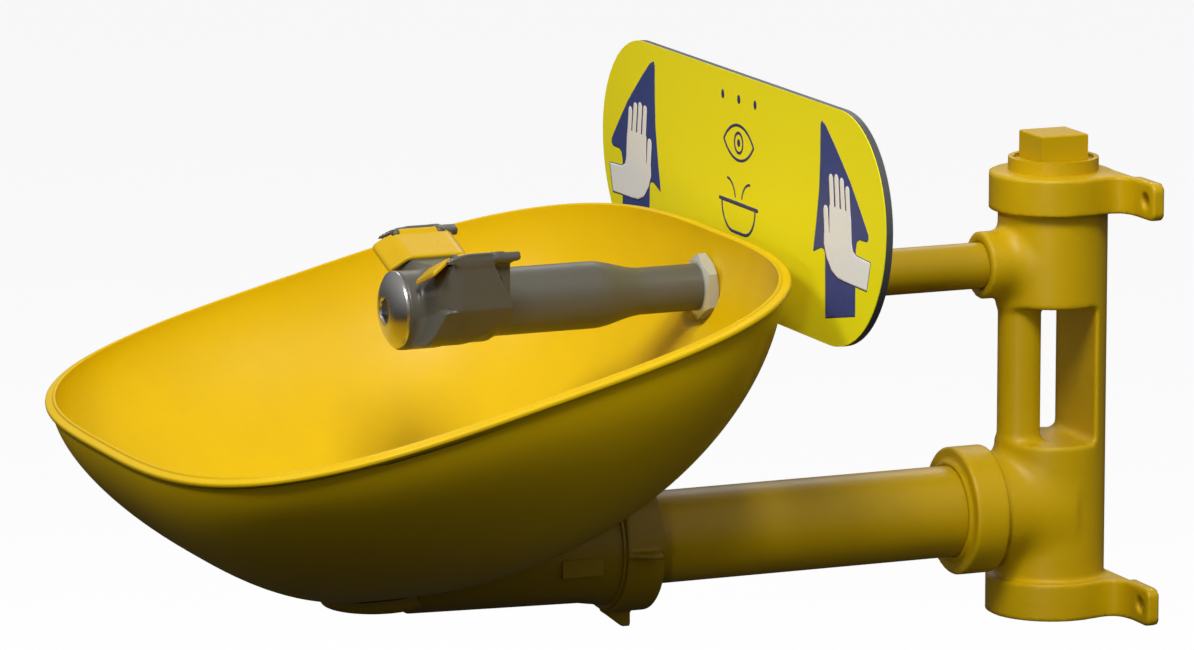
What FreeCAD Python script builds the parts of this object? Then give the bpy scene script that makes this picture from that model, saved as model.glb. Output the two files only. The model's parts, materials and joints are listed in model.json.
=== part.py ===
import FreeCAD, Part
import math
import os

# Wall-mounted eyewash station. Millimetres. The wall is the plane Y = 0, the user stands
# at -Y, +X is the user's right hand and +Z is up. The origin is the centre of the four
# wall bolts.

V = FreeCAD.Vector
X_AXIS, Y_AXIS, Z_AXIS = V(1, 0, 0), V(0, 1, 0), V(0, 0, 1)

# --- driving dimensions -------------------------------------------------------------
GAP = 0.3                     # space between pieces that turn past each other
SLIDE = 0.05                  # radial clearance of a running fit

CAST_Y = -30.0                # axis of the bracket casting, in front of the wall
CAST_HALF_H = 103.6
CAST_R = 25.4
COLLAR_R = 29.6
COLLAR_H = 18.0
CHAMBER_R = 19.0              # water way inside the casting, and the top plug's thread
OUTLET_R, OUTLET_L = 20.2, 20.0    # 1-1/4 inch pipe thread, tapped bore at the foot
SQUARE_HALF, SQUARE_TOP = 11.85, 121.4
PLUG_RIM_R, PLUG_RECESS_R, PLUG_RIM_H = 20.9, 18.6, 6.4
EAR_TIP_X = 55.0
EAR_T = 5.9
EAR_FILLET = 14.0
BOLT_X, BOLT_Z = 92.0, 189.0  # wall bolt spacing
BOLT_R = 3.4
BACK_RELIEF_X, BACK_RELIEF_Y = 30.0, 3.0
WINDOW_LOW, WINDOW_TOP = -22.0, 42.0
COLUMN_R, COLUMN_Y = 10.5, -46.0
WEB_Y, WEB_HALF_W = -17.7, 19.0

SUPPLY_Z = 61.4               # axis of the supply pipe and the spray head
SUPPLY_R = 10.67              # 1/2 inch pipe, outside
SUPPLY_BORE_R = 7.9
SUPPLY_BOSS_R = 15.5
SUPPLY_BOSS_Y = -67.4
BOSS_FILLET = 5.0
PIPE_IN = 14.0                # how far a pipe screws into its boss
INLET_R = 9.6                 # 1/2 inch pipe thread, tapped bore
INLET_Y = -7.2                # spot face around the inlet, on the back of the casting
SPOT_R = 13.0

WASTE_Z = SUPPLY_Z - 114.3    # 4-1/2 inches below the supply
WASTE_R = 21.1                # 1-1/4 inch pipe, outside
WASTE_BORE_R = 17.5
WASTE_COLLAR_Y = -80.5
WASTE_COLLAR_L = 16.4

BOWL_HALF_W = 160.0           # half width and half length of the wall at the rim
BOWL_HALF_L = 152.0
RIM_TILT = math.radians(14.36)
RIM_C = V(0, -347.5, 49.0)    # centre of the rim plane
RIM_BEAD = 3.0                # how far the bead stands out
BEAD_BELOW, BEAD_ABOVE = 4.2, 0.5
BOTTOM_C = V(0, -375.0, -67.0)
BOWL_WALL = 2.2
CORNER_POWER = 3.25           # superellipse power of the plan outline
DRAIN_Y = -367.0
DRAIN_R = 18.0

WALL_PAD_Y = -203.4           # flat inside face of the bowl's back wall at the spray tube
PAD_T = 2.6
PAD_R = 18.0
TUBE_R = 10.65
HEAD_TUBE_R = 15.2
HEAD_R = 17.2
WING_FRONT, WING_BACK = -350.0, -314.5
WING_IN, WING_OUT = (14.0, 18.5), (39.0, 27.5)    # slanted top, (x, z) from the tube axis
CAP_Y = -356.0

VALVE_Y = -163.0              # stem axis of the ball valve, along X
PANEL_Y = -188.5              # front face of the push panel
PANEL_T = 3.2
LABEL_T = 0.4
PANEL_HALF_W = 158.0
PANEL_LOW, PANEL_TOP = 50.4, 157.2


# --- small helpers ------------------------------------------------------------------
def rod(axis, radius, start, end, at=V(0, 0, 0)):
    """Cylinder of the given radius along axis, from start to end on that axis."""
    return Part.makeCylinder(radius, end - start, at + axis * start, axis)


def pipe(axis, outer, inner, start, end, at=V(0, 0, 0)):
    """Tube with an open bore."""
    return rod(axis, outer, start, end, at).cut(rod(axis, inner, start - 1, end + 1, at))


def block(x0, x1, y0, y1, z0, z1):
    return Part.makeBox(x1 - x0, y1 - y0, z1 - z0, V(x0, y0, z0))


def supply(radius, y0, y1):
    """Solid cylinder on the supply axis."""
    return rod(Y_AXIS, radius, y0, y1, V(0, 0, SUPPLY_Z))


def waste(radius, y0, y1):
    """Solid cylinder on the waste axis."""
    return rod(Y_AXIS, radius, y0, y1, V(0, 0, WASTE_Z))


def hexagon(flats, y0, y1, z, turn=0.0):
    """Hexagonal bar along Y; turn 0 puts two corners at top and bottom."""
    radius = flats / math.sqrt(3)
    corners = [V(radius * math.sin(turn + k * math.pi / 3), y0,
                 z + radius * math.cos(turn + k * math.pi / 3)) for k in range(7)]
    return Part.Face(Part.makePolygon(corners)).extrude(V(0, y1 - y0, 0))


def hex_nut(flats, hole_r, y0, y1, z):
    """Chamfered hexagon nut on a horizontal axis."""
    corner = flats / math.sqrt(3)
    edge = 0.12 * flats
    chamfer = turned([(y0, 0), (y0, corner - edge), (y0 + edge / 2, corner),
                      (y1 - edge / 2, corner), (y1, corner - edge), (y1, 0)], z)
    return hexagon(flats, y0, y1, z).common(chamfer).cut(rod(Y_AXIS, hole_r, y0 - 1, y1 + 1, V(0, 0, z)))


def turned(profile, z, curve=None, dome=None):
    """Solid of revolution about the Y-parallel axis at height z; profile is (y, radius).

    curve names two neighbouring points that a smooth swell joins; dome is the number of a
    point and the (y, radius) that an arc from it to the next point passes through.
    """
    points = [V(0, y, z + r) for y, r in profile]
    edges = [Part.makeLine(a, b) for a, b in zip(points, points[1:])]
    if curve:
        before, after = curve
        spline = Part.BezierCurve()
        a, b = points[before], points[after]
        middle = (a.y + b.y) / 2
        spline.setPoles([a, V(0, middle, a.z), V(0, middle, b.z), b])
        edges[before] = spline.toShape()
    if dome:
        start, y, r = dome
        edges[start] = Part.Arc(points[start], V(0, y, z + r), points[start + 1]).toShape()
    edges.append(Part.makeLine(points[-1], points[0]))
    return Part.Face(Part.Wire(edges)).revolve(V(0, 0, z), Y_AXIS, 360)


def mirrored(shape):
    """The same piece on the other side of the middle plane X = 0."""
    return shape.mirror(V(0, 0, 0), X_AXIS)


def fused(first, *others):
    return first.multiFuse(list(others)).removeSplitter()


def rounded(shape, radius, wanted):
    """Fillet the edges whose middle point the test picks out."""
    picked = [e for e in shape.Edges if wanted(e.valueAt((e.FirstParameter + e.LastParameter) / 2))]
    return shape.makeFillet(radius, picked)


# --- wall bracket -------------------------------------------------------------------
def ear_pair(z0):
    """Collar with two wall ears; each ear runs into the collar through a concave arc."""
    reach = COLLAR_R + EAR_FILLET
    arc_y = -EAR_T - EAR_FILLET
    arc_x = math.sqrt(reach ** 2 - (arc_y - CAST_Y) ** 2)
    touch = V(arc_x * COLLAR_R / reach, CAST_Y + (arc_y - CAST_Y) * COLLAR_R / reach, z0)
    flat = V(arc_x, -EAR_T, z0)
    centre = V(arc_x, arc_y, z0)
    middle = centre + ((touch - centre) + (flat - centre)).normalize() * EAR_FILLET
    corners = [V(0, CAST_Y, z0), touch, flat, V(EAR_TIP_X, -EAR_T, z0), V(EAR_TIP_X, 0, z0), V(0, 0, z0)]
    edges = [Part.makeLine(corners[0], corners[1]), Part.Arc(touch, middle, flat).toShape()]
    edges += [Part.makeLine(a, b) for a, b in zip(corners[2:], corners[3:] + corners[:1])]
    ear = Part.Face(Part.Wire(edges)).extrude(V(0, 0, COLLAR_H))
    ear = rounded(ear, 4, lambda p: abs(p.x - EAR_TIP_X) < 0.1 and abs(p.y + EAR_T / 2) < 0.1)
    # the middle of the back is hollowed so that only the ears touch the wall
    relief = block(-BACK_RELIEF_X, BACK_RELIEF_X, -BACK_RELIEF_Y, 1, z0 - 1, z0 + COLLAR_H + 1)
    collar = rod(Z_AXIS, COLLAR_R, z0, z0 + COLLAR_H, V(0, CAST_Y, 0))
    return fused(collar, ear, mirrored(ear)).cut(relief)


def bracket_casting():
    at = V(0, CAST_Y, 0)
    body = rod(Z_AXIS, CAST_R, -CAST_HALF_H, CAST_HALF_H, at)
    web = block(-WEB_HALF_W, WEB_HALF_W, WEB_Y, 0, WINDOW_LOW, WINDOW_TOP)
    column = rod(Z_AXIS, COLUMN_R, WINDOW_LOW, WINDOW_TOP, V(0, COLUMN_Y, 0))
    window = block(-40, 40, -70, 0, WINDOW_LOW, WINDOW_TOP).cut(web).cut(column)
    body = body.cut(window)
    supply_boss = supply(SUPPLY_BOSS_R, SUPPLY_BOSS_Y, CAST_Y)
    waste_boss = waste(CAST_R - 0.6, WASTE_COLLAR_Y + 1, CAST_Y)
    trunk = filleted_bosses(fused(body, supply_boss, waste_boss))
    waste_collar = waste(COLLAR_R, WASTE_COLLAR_Y, WASTE_COLLAR_Y + WASTE_COLLAR_L)
    whole = fused(trunk, waste_collar, ear_pair(-CAST_HALF_H), ear_pair(CAST_HALF_H - COLLAR_H))
    upper_chamber = rod(Z_AXIS, CHAMBER_R, WINDOW_TOP + 5, CAST_HALF_H + 1, at)
    lower_chamber = rod(Z_AXIS, CHAMBER_R, -CAST_HALF_H - 1, WINDOW_LOW - 5, at)
    outlet = rod(Z_AXIS, OUTLET_R, -CAST_HALF_H - 1, -CAST_HALF_H + OUTLET_L, at)
    ports = [supply(SUPPLY_R, SUPPLY_BOSS_Y - 1, CAST_Y), supply(INLET_R, CAST_Y, 0), supply(SPOT_R, INLET_Y, 0),
             waste(WASTE_R, WASTE_COLLAR_Y - 1, CAST_Y - PIPE_IN), upper_chamber, lower_chamber, outlet]
    bolts = [rod(Y_AXIS, BOLT_R, -EAR_T - 2, 1, V(sx * BOLT_X / 2, 0, sz * BOLT_Z / 2))
             for sx in (-1, 1) for sz in (-1, 1)]
    return whole.cut(ports + bolts)


def filleted_bosses(trunk):
    """Concave fillet where the supply boss runs into the body."""
    def on_boss(p):
        away = math.hypot(p.x, p.z - SUPPLY_Z)
        return abs(away - SUPPLY_BOSS_R) < 0.6 and CAST_Y - CAST_R - 1 < p.y < CAST_Y - 1
    return rounded(trunk, BOSS_FILLET, on_boss)


def top_plug():
    """Square-head pipe plug in the top port."""
    top = CAST_HALF_H + PLUG_RIM_H
    at = V(0, CAST_Y, 0)
    thread = rod(Z_AXIS, CHAMBER_R - 0.02, CAST_HALF_H - 16, CAST_HALF_H, at)
    rim = pipe(Z_AXIS, PLUG_RIM_R, PLUG_RECESS_R, CAST_HALF_H, top, at)
    floor = rod(Z_AXIS, PLUG_RIM_R, CAST_HALF_H, top - 1.6, at)
    square = block(-SQUARE_HALF, SQUARE_HALF, CAST_Y - SQUARE_HALF, CAST_Y + SQUARE_HALF, CAST_HALF_H, SQUARE_TOP)
    square = rounded(square, 1.0, lambda p: abs(p.z - SQUARE_TOP) < 0.1)
    hollow = rod(Z_AXIS, CHAMBER_R - 5, CAST_HALF_H - 17, CAST_HALF_H - 3, at)
    return fused(thread, rim, floor, square).cut(hollow)


# --- pipes and drain ----------------------------------------------------------------
NUT_FRONT, NUT_BACK = -256.0, -237.6
NUT_R = 32.2
LUG_R = 40.0                  # reach of the nut's fins
FIN_T, FIN_RAMP, FIN_L = 4.0, 5.8, 8.0
TAIL_R = 28.6                 # threaded tail of the drain housing
TAIL_END = -246.6
CUP_R, CUP_LOW = 24.0, -72.0  # round cup under the drain
HOUSING_WALL = 3.0
GASKET_T = 1.2
DRAIN_SEAT_R, DRAIN_SEAT_Z = 23.0, -62.6


def supply_pipe():
    return supply(SUPPLY_R, VALVE_Y + 27, SUPPLY_BOSS_Y + PIPE_IN).cut(
        supply(SUPPLY_BORE_R, VALVE_Y, CAST_Y))


def waste_pipe():
    return waste(WASTE_R, NUT_FRONT - 8, WASTE_COLLAR_Y + PIPE_IN).cut(waste(WASTE_BORE_R, -400, CAST_Y))


def slip_nut():
    """Hand-tightened ring nut with three ramped fins; the bowl leaves no room for one on top."""
    ring = waste(NUT_R, NUT_FRONT, NUT_BACK)
    ring = ring.makeChamfer(1.2, [e for e in ring.Edges if abs(e.Length - 2 * math.pi * NUT_R) < 1])
    foot = NUT_R - 3
    side = [(NUT_FRONT, foot), (NUT_FRONT, NUT_R), (NUT_FRONT + FIN_RAMP, LUG_R), (NUT_FRONT + FIN_L, LUG_R),
            (NUT_FRONT + FIN_L, foot)]
    outline = [V(-FIN_T / 2, y, WASTE_Z + r) for y, r in side + side[:1]]
    fins = []
    for k in (-1, 0, 1):
        fin = Part.Face(Part.makePolygon(outline)).extrude(V(FIN_T, 0, 0))
        fin.rotate(V(0, 0, WASTE_Z), Y_AXIS, 180 + 90 * k)
        fins.append(fin)
    thread = waste(TAIL_R + 0.1, NUT_FRONT - 1, NUT_BACK - 4.4)
    hole = waste(WASTE_R + 0.25, NUT_FRONT, NUT_BACK + 1)
    return fused(ring, *fins).cut(thread).cut(hole)


def slip_washer():
    """Tapered ferrule that seals the waste pipe."""
    return waste(TAIL_R - 0.3, TAIL_END, NUT_BACK - 4.4).cut(waste(WASTE_R + 0.05, -300, -200))


def drain_housing():
    """Tapered tube under the bowl with a cup at the drain; the bowl's form trims its top."""
    front = -357.0
    outer = turned([(front, 0), (front, 20), (front + 5, 24.4), (NUT_FRONT - 14, 26.6), (NUT_FRONT - 1.5, 28.6),
                    (NUT_FRONT - 1.5, 30.4), (NUT_FRONT - 0.3, 30.4), (NUT_FRONT - 0.3, TAIL_R),
                    (TAIL_END, TAIL_R), (TAIL_END, 0)], WASTE_Z)
    cup = rod(Z_AXIS, CUP_R, CUP_LOW, -20.0, V(0, DRAIN_Y, 0))
    cup = rounded(cup, 3, lambda p: abs(p.z - CUP_LOW) < 0.1)
    pad = block(24.5, 27.2, -286, -266, WASTE_Z - 9, WASTE_Z - 1)
    socket_r = WASTE_R + 0.25
    inner = turned([(front + 4, 0), (front + 4, 20.5), (NUT_FRONT - 10, 23.4), (NUT_FRONT - 8, socket_r),
                    (TAIL_END + 1, socket_r), (TAIL_END + 1, 0)], WASTE_Z)
    cup_inner = rod(Z_AXIS, CUP_R - HOUSING_WALL, CUP_LOW + HOUSING_WALL, -20.0, V(0, DRAIN_Y, 0))
    hollow = fused(inner, cup_inner).cut(bowl_form(GASKET_T + HOUSING_WALL))
    mouth = rod(Z_AXIS, DRAIN_R, CUP_LOW + HOUSING_WALL, 0, V(0, DRAIN_Y, 0))
    screw_boss = rod(Z_AXIS, 4.5, CUP_LOW, DRAIN_SEAT_Z - 5.5, V(0, DRAIN_Y, 0))
    screw_hole = rod(Z_AXIS, 2.0, CUP_LOW + 1, 0, V(0, DRAIN_Y, 0))
    shell = fused(outer, cup, pad).cut(bowl_form(GASKET_T)).cut(hollow).cut(mouth)
    return fused(shell, screw_boss).cut(screw_hole)


def drain_gasket():
    """Ring that follows the bowl's underside between it and the housing's cup."""
    ring = pipe(Z_AXIS, CUP_R - 0.2, DRAIN_R, CUP_LOW, -30.0, V(0, DRAIN_Y, 0))
    return ring.common(bowl_form(GASKET_T)).cut(bowl_form(0))


def drain_strainer():
    """Perforated disc in the drain seat."""
    at = V(0, DRAIN_Y, 0)
    disc = pipe(Z_AXIS, DRAIN_SEAT_R - 0.3, 2.1, DRAIN_SEAT_Z, DRAIN_SEAT_Z + 1.2, at)
    holes = []
    for ring_r, count in ((7.5, 8), (12.0, 13), (16.5, 18)):
        for k in range(count):
            angle = 2 * math.pi * k / count
            place = at + V(ring_r * math.cos(angle), ring_r * math.sin(angle), 0)
            holes.append(rod(Z_AXIS, 1.4, DRAIN_SEAT_Z - 1, DRAIN_SEAT_Z + 2, place))
    return disc.cut(holes)


def strainer_screw():
    """Slotted pan-head screw that clamps strainer, bowl, gasket and housing."""
    at = V(0, DRAIN_Y, 0)
    top = DRAIN_SEAT_Z + 1.2
    shank = rod(Z_AXIS, 1.95, CUP_LOW + 2, top, at)
    head = rod(Z_AXIS, 4.0, top, top + 2.4, at)
    head = rounded(head, 1.2, lambda p: abs(p.z - top - 2.4) < 0.1)
    slot = block(-5, 5, DRAIN_Y - 0.6, DRAIN_Y + 0.6, top + 1.2, top + 3)
    return fused(shank, head).cut(slot)


# --- bowl ---------------------------------------------------------------------------
def superellipse(half_w, half_l, centre, tilt, count=40):
    """Closed smooth wire: |x/w|^n + |y/l|^n = 1, tilted about X through its centre."""
    points = []
    for k in range(count):
        angle = 2 * math.pi * (k + 0.5) / count
        c, s = math.cos(angle), math.sin(angle)
        x = half_w * math.copysign(abs(c) ** (2 / CORNER_POWER), c)
        y = half_l * math.copysign(abs(s) ** (2 / CORNER_POWER), s)
        points.append(centre + V(x, y * math.cos(tilt), y * math.sin(tilt)))
    curve = Part.BSplineCurve()
    curve.interpolate(points, PeriodicFlag=True)
    return Part.Wire(curve.toShape())


def bowl_section(depth, grow):
    """Outline of the bowl at a share of its depth: 0 is the rim, 1 the bottom."""
    shrink = (1 - max(depth, 0) ** 1.614) ** (1 / 1.81)
    drift = max(depth, 0) ** 2.14
    centre = V(0, RIM_C.y + (BOTTOM_C.y - RIM_C.y) * drift,
               RIM_C.z + (BOTTOM_C.z - grow - RIM_C.z) * depth)
    tilt = RIM_TILT * (1 - depth)
    return superellipse((BOWL_HALF_W + grow) * shrink, (BOWL_HALF_L + grow) * shrink, centre, tilt)


def bowl_form(grow, lift=0.0):
    """Solid of the bowl's outside, grown by grow, and carried up past the rim by lift."""
    depths = [0, 0.08, 0.2, 0.34, 0.48, 0.62, 0.75, 0.86, 0.94, 0.985]
    sections = [bowl_section(d, grow) for d in depths]
    form = Part.makeLoft(sections, True)
    if lift:
        normal = V(0, -math.sin(RIM_TILT), math.cos(RIM_TILT))
        top = Part.Face(sections[0]).extrude(normal * lift)
        form = form.fuse(top)
    return form


def bowl():
    normal = V(0, -math.sin(RIM_TILT), math.cos(RIM_TILT))
    bead_low = RIM_C - normal * BEAD_BELOW
    bead_wire = superellipse(BOWL_HALF_W + RIM_BEAD, BOWL_HALF_L + RIM_BEAD, bead_low, RIM_TILT)
    bead = Part.Face(bead_wire).extrude(normal * (BEAD_BELOW + BEAD_ABOVE))
    inside = bowl_form(-BOWL_WALL, lift=8)
    shell = bowl_form(0).fuse(bead).cut(inside)
    boss = supply(PAD_R + BOWL_WALL, WALL_PAD_Y - 12, WALL_PAD_Y + PAD_T).cut(inside)
    recess = supply(PAD_R, WALL_PAD_Y - 20, WALL_PAD_Y)
    back_clear = supply(PAD_R, WALL_PAD_Y + PAD_T, WALL_PAD_Y + PAD_T + 6)
    hole = supply(TUBE_R + 0.2, WALL_PAD_Y - 10, WALL_PAD_Y + 10)
    drain_at = V(0, DRAIN_Y, 0)
    seat = rod(Z_AXIS, DRAIN_SEAT_R + 2, BOTTOM_C.z + 2, DRAIN_SEAT_Z, drain_at).common(bowl_form(0))
    seat_clear = rod(Z_AXIS, DRAIN_SEAT_R, DRAIN_SEAT_Z, DRAIN_SEAT_Z + 15, drain_at)
    drain = rod(Z_AXIS, DRAIN_R, -90, -40, drain_at)
    shell = shell.fuse(boss).cut(recess).cut(back_clear).cut(hole).fuse(seat)
    return shell.cut(seat_clear).cut(drain)


# --- spray head ---------------------------------------------------------------------
SLOPE = math.atan2(WING_OUT[1] - WING_IN[1], WING_OUT[0] - WING_IN[0])
SLOPE_L = math.hypot(WING_OUT[0] - WING_IN[0], WING_OUT[1] - WING_IN[1])
BEVEL_Y, BEVEL_DROP = -343.2, 5.7          # front bevel of the wings and covers
PIN_U, PIN_W, PIN_R = 23.2, 1.2, 1.0       # hinge pin, along and above the slanted top
POCKET_IN, POCKET_OUT = 3.0, 19.5          # nozzle pocket, along the slanted top
POCKET_FRONT, POCKET_BACK, POCKET_LOW = -341.0, -319.0, -12.0
RIDGE_IN, RIDGE_OUT, RIDGE_TOP = 25.7, 27.0, 2.8
RIDGE_FRONT = -342.5
KNUCKLE_R = 2.2
KNUCKLE_Y = (-340.0, -322.0)
LUG_L = 3.0
COVER_T = 2.2


def on_slope(shape):
    """Put a shape drawn with X up the slope and Z out of it onto the right wing's top."""
    shape = shape.copy()
    shape.rotate(V(0, 0, 0), Y_AXIS, -math.degrees(SLOPE))
    shape.translate(V(WING_IN[0], 0, SUPPLY_Z + WING_IN[1]))
    return shape


def slope_rod(radius, y0, y1):
    """Rod on the hinge line of the right cover."""
    return on_slope(rod(Y_AXIS, radius, y0, y1, V(PIN_U, 0, PIN_W)))


def wing():
    """Right nozzle housing: slanted top, upright outer wall, cut back underneath."""
    section = [(0, WING_IN[1]), WING_IN, WING_OUT, (WING_OUT[0], 3.5), (31.0, -12.0), (12.0, -15.5), (0, -15.5)]
    outline = [V(x, WING_FRONT - 1, SUPPLY_Z + z) for x, z in section + section[:1]]
    solid = Part.Face(Part.makePolygon(outline)).extrude(V(0, WING_BACK - WING_FRONT + 1, 0))
    plan = [(-1, WING_FRONT - 1), (22, WING_FRONT - 1), (WING_OUT[0] + 1, WING_FRONT + 5),
            (WING_OUT[0] + 1, WING_BACK), (-1, WING_BACK)]
    low, high = SUPPLY_Z - 40, SUPPLY_Z + 40
    plan_face = Part.Face(Part.makePolygon([V(x, y, low) for x, y in plan + plan[:1]]))
    solid = solid.common(plan_face.extrude(V(0, 0, high - low)))
    bevel = [V(-9, BEVEL_Y, 0), V(-9, BEVEL_Y - 12, 0), V(-9, BEVEL_Y - 12, -BEVEL_DROP * 1.5)]
    wedge = Part.Face(Part.makePolygon(bevel + bevel[:1])).extrude(V(60, 0, 0))
    back = [V(-1, WING_BACK + 1, SUPPLY_Z - 2), V(-1, WING_BACK + 1, SUPPLY_Z - 30),
            V(-1, WING_BACK - 18, SUPPLY_Z - 30), V(-1, WING_BACK - 16, SUPPLY_Z - 12)]
    under = Part.Face(Part.makePolygon(back + back[:1])).extrude(V(60, 0, 0))
    return solid.cut(on_slope(wedge)).cut(under)


def wing_cuts():
    """Nozzle pocket, its water way and the room for the cover's knuckle."""
    pocket = on_slope(block(POCKET_IN, POCKET_OUT, POCKET_FRONT, POCKET_BACK, POCKET_LOW, 5))
    foot_u, foot_w = (POCKET_IN + POCKET_OUT) / 2, POCKET_LOW + 1
    x = WING_IN[0] + foot_u * math.cos(SLOPE) - foot_w * math.sin(SLOPE)
    z = WING_IN[1] + foot_u * math.sin(SLOPE) + foot_w * math.cos(SLOPE)
    water_way = Part.makeCylinder(3.5, math.hypot(x, z), V(0, -330, SUPPLY_Z), V(x, 0, z))
    knuckle = slope_rod(KNUCKLE_R + GAP, KNUCKLE_Y[0] - GAP, KNUCKLE_Y[1] + GAP)
    pin = slope_rod(PIN_R + 0.01, KNUCKLE_Y[0] - LUG_L, KNUCKLE_Y[1] + LUG_L)
    return [pocket, water_way, knuckle, pin]


def hinge_lugs():
    """Outer ridge of the wing with a lug at each end of the cover's knuckle."""
    ridge = on_slope(block(RIDGE_IN, RIDGE_OUT, RIDGE_FRONT, WING_BACK, -1, RIDGE_TOP))
    parts = [ridge]
    for y0 in (KNUCKLE_Y[0] - GAP - LUG_L, KNUCKLE_Y[1] + GAP):
        parts.append(slope_rod(KNUCKLE_R, y0, y0 + LUG_L))
        parts.append(on_slope(block(PIN_U, RIDGE_IN + 0.1, y0, y0 + LUG_L, -1, PIN_W + 1.0)))
    return fused(*parts)


def spray_body():
    """Grey moulding: neck through the bowl wall, smooth swell, head with two wings."""
    barrel = turned([(CAP_Y + 0.8, 0), (CAP_Y + 0.8, HEAD_R), (-314, HEAD_R), (-311, HEAD_TUBE_R),
                     (-262, HEAD_TUBE_R), (-237, TUBE_R), (-177, TUBE_R), (-177, 0)], SUPPLY_Z, curve=(4, 5))
    solid = fused(barrel, wing(), mirrored(wing()), hinge_lugs(), mirrored(hinge_lugs()))
    bores = [supply(7.5, -346, -170), supply(12.5, CAP_Y, -345), supply(14.8, CAP_Y, CAP_Y + 2.6)]
    cuts = wing_cuts()
    return solid.cut(bores).cut(cuts + [mirrored(c) for c in cuts])


def end_cap():
    """Domed stainless plug with a hexagon socket."""
    nose = CAP_Y - 5.0
    dome = turned([(nose, 0), (nose, 7), (CAP_Y - 0.6, 17.2), (CAP_Y, 17.4), (CAP_Y + 0.8, 17.4),
                   (CAP_Y + 0.8, 12.4), (-347, 12.4), (-347, 0)], SUPPLY_Z, dome=(1, CAP_Y - 3.6, 12.4))
    socket = hexagon(10.4, CAP_Y - 6, CAP_Y, SUPPLY_Z)
    entry = turned([(CAP_Y - 6, 0), (CAP_Y - 6, 6.6), (CAP_Y - 4.0, 5.6), (CAP_Y - 4.0, 0)], SUPPLY_Z)
    return dome.cut(socket).cut(entry)


def cap_seal():
    return supply(14.7, CAP_Y + 0.8, CAP_Y + 2.5).cut(supply(12.5, CAP_Y - 1, CAP_Y + 4))


def spray_rose():
    """Nozzle insert of the right wing: a plate with seven jets."""
    x0, x1, y0, y1 = POCKET_IN + SLIDE, POCKET_OUT - SLIDE, POCKET_FRONT + SLIDE, POCKET_BACK - SLIDE
    plate = block(x0, x1, y0, y1, -7, -3)
    skirt = block(x0, x1, y0, y1, POCKET_LOW + 0.5, -6).cut(block(x0 + 2, x1 - 2, y0 + 2, y1 - 2, POCKET_LOW, -5))
    centre = V((x0 + x1) / 2, (y0 + y1) / 2, 0)
    jets = [rod(Z_AXIS, 1.1, -8, 0, centre)]
    for k in range(6):
        angle = math.pi * k / 3
        jets.append(rod(Z_AXIS, 1.1, -8, 0, centre + V(4.6 * math.cos(angle), 6.5 * math.sin(angle), 0)))
    return on_slope(plate.fuse(skirt).cut(jets))


def dust_cover():
    """Right cover: a bent plate on a knuckle, with a bevel that hangs over the wing's front."""
    clear = GAP
    edge = [(-314.0, clear), (-314.0, 1.3), (-318.5, clear + COVER_T), (-344.0, clear + COVER_T),
            (-352.2, clear + COVER_T - BEVEL_DROP - 0.3), (-351.4, clear - BEVEL_DROP - 0.1), (BEVEL_Y, clear)]
    profile = [V(GAP, y, w) for y, w in edge + edge[:1]]
    plate = Part.Face(Part.makePolygon(profile)).extrude(V(PIN_U - GAP, 0, 0))
    rear_lip = block(GAP, PIN_U - 4, -314.0, -312.8, clear - 1.5, 1.3)
    lug_room = [rod(Y_AXIS, KNUCKLE_R + GAP, KNUCKLE_Y[0] - 2 * GAP - LUG_L, KNUCKLE_Y[0], V(PIN_U, 0, PIN_W)),
                rod(Y_AXIS, KNUCKLE_R + GAP, KNUCKLE_Y[1], KNUCKLE_Y[1] + 2 * GAP + LUG_L, V(PIN_U, 0, PIN_W))]
    knuckle = rod(Y_AXIS, KNUCKLE_R, KNUCKLE_Y[0], KNUCKLE_Y[1], V(PIN_U, 0, PIN_W))
    hole = rod(Y_AXIS, PIN_R + SLIDE, -360, -300, V(PIN_U, 0, PIN_W))
    return on_slope(fused(plate.cut(lug_room), rear_lip, knuckle).cut(hole))


def cover_pin():
    return slope_rod(PIN_R, KNUCKLE_Y[0] - LUG_L, KNUCKLE_Y[1] + LUG_L)


def tube_locknut():
    return hex_nut(26.5, TUBE_R + 0.05, WALL_PAD_Y - 6.5, WALL_PAD_Y, SUPPLY_Z)


def wall_washer():
    return supply(16.5, WALL_PAD_Y + PAD_T, WALL_PAD_Y + PAD_T + 2).cut(supply(TUBE_R + 0.1, -300, -100))


def backing_nut():
    return hex_nut(28.0, TUBE_R + 0.05, WALL_PAD_Y + PAD_T + 2, WALL_PAD_Y + PAD_T + 8, SUPPLY_Z)


def flow_regulator():
    """Flow-limiting disc in the neck."""
    return supply(7.45, -196, -190).cut(supply(3.0, -200, -180))


# --- ball valve ---------------------------------------------------------------------
VALVE_FRONT, VALVE_MID, VALVE_REAR = -175.0, -151.0, -137.0
VALVE_R = 15.0
ADAPTER_FRONT, TUBE_STOP = -182.0, -176.8
BALL_R, BALL_BORE_R = 9.5, 6.3
CAVITY_R, CAVITY_END = 11.0, -153.6
SEATS = ((-170.8, -167.0), (-159.0, CAVITY_END))
STEM_R, STEM_SQUARE = 4.0, 3.2
STEM_BOSS_R, PACKING_R, PACKING_X = 7.5, 5.6, 14.0
STEM_BOSS_X, YOKE_X, STEM_END_X = 20.0, 27.0, 37.0
YOKE_T = 3.0
TONGUE_X, TONGUE_HALF_T, TONGUE_HALF_H = 10.4, 1.5, 3.6


def across(radius, x0, x1):
    """Solid cylinder on the stem axis."""
    return rod(X_AXIS, radius, x0, x1, V(0, VALVE_Y, SUPPLY_Z))


def stem_square(half):
    """Square bar on the stem axis, through the handle yoke and the handle nut."""
    return block(YOKE_X - 1, STEM_END_X + 1, VALVE_Y - half, VALVE_Y + half, SUPPLY_Z - half, SUPPLY_Z + half)


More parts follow.
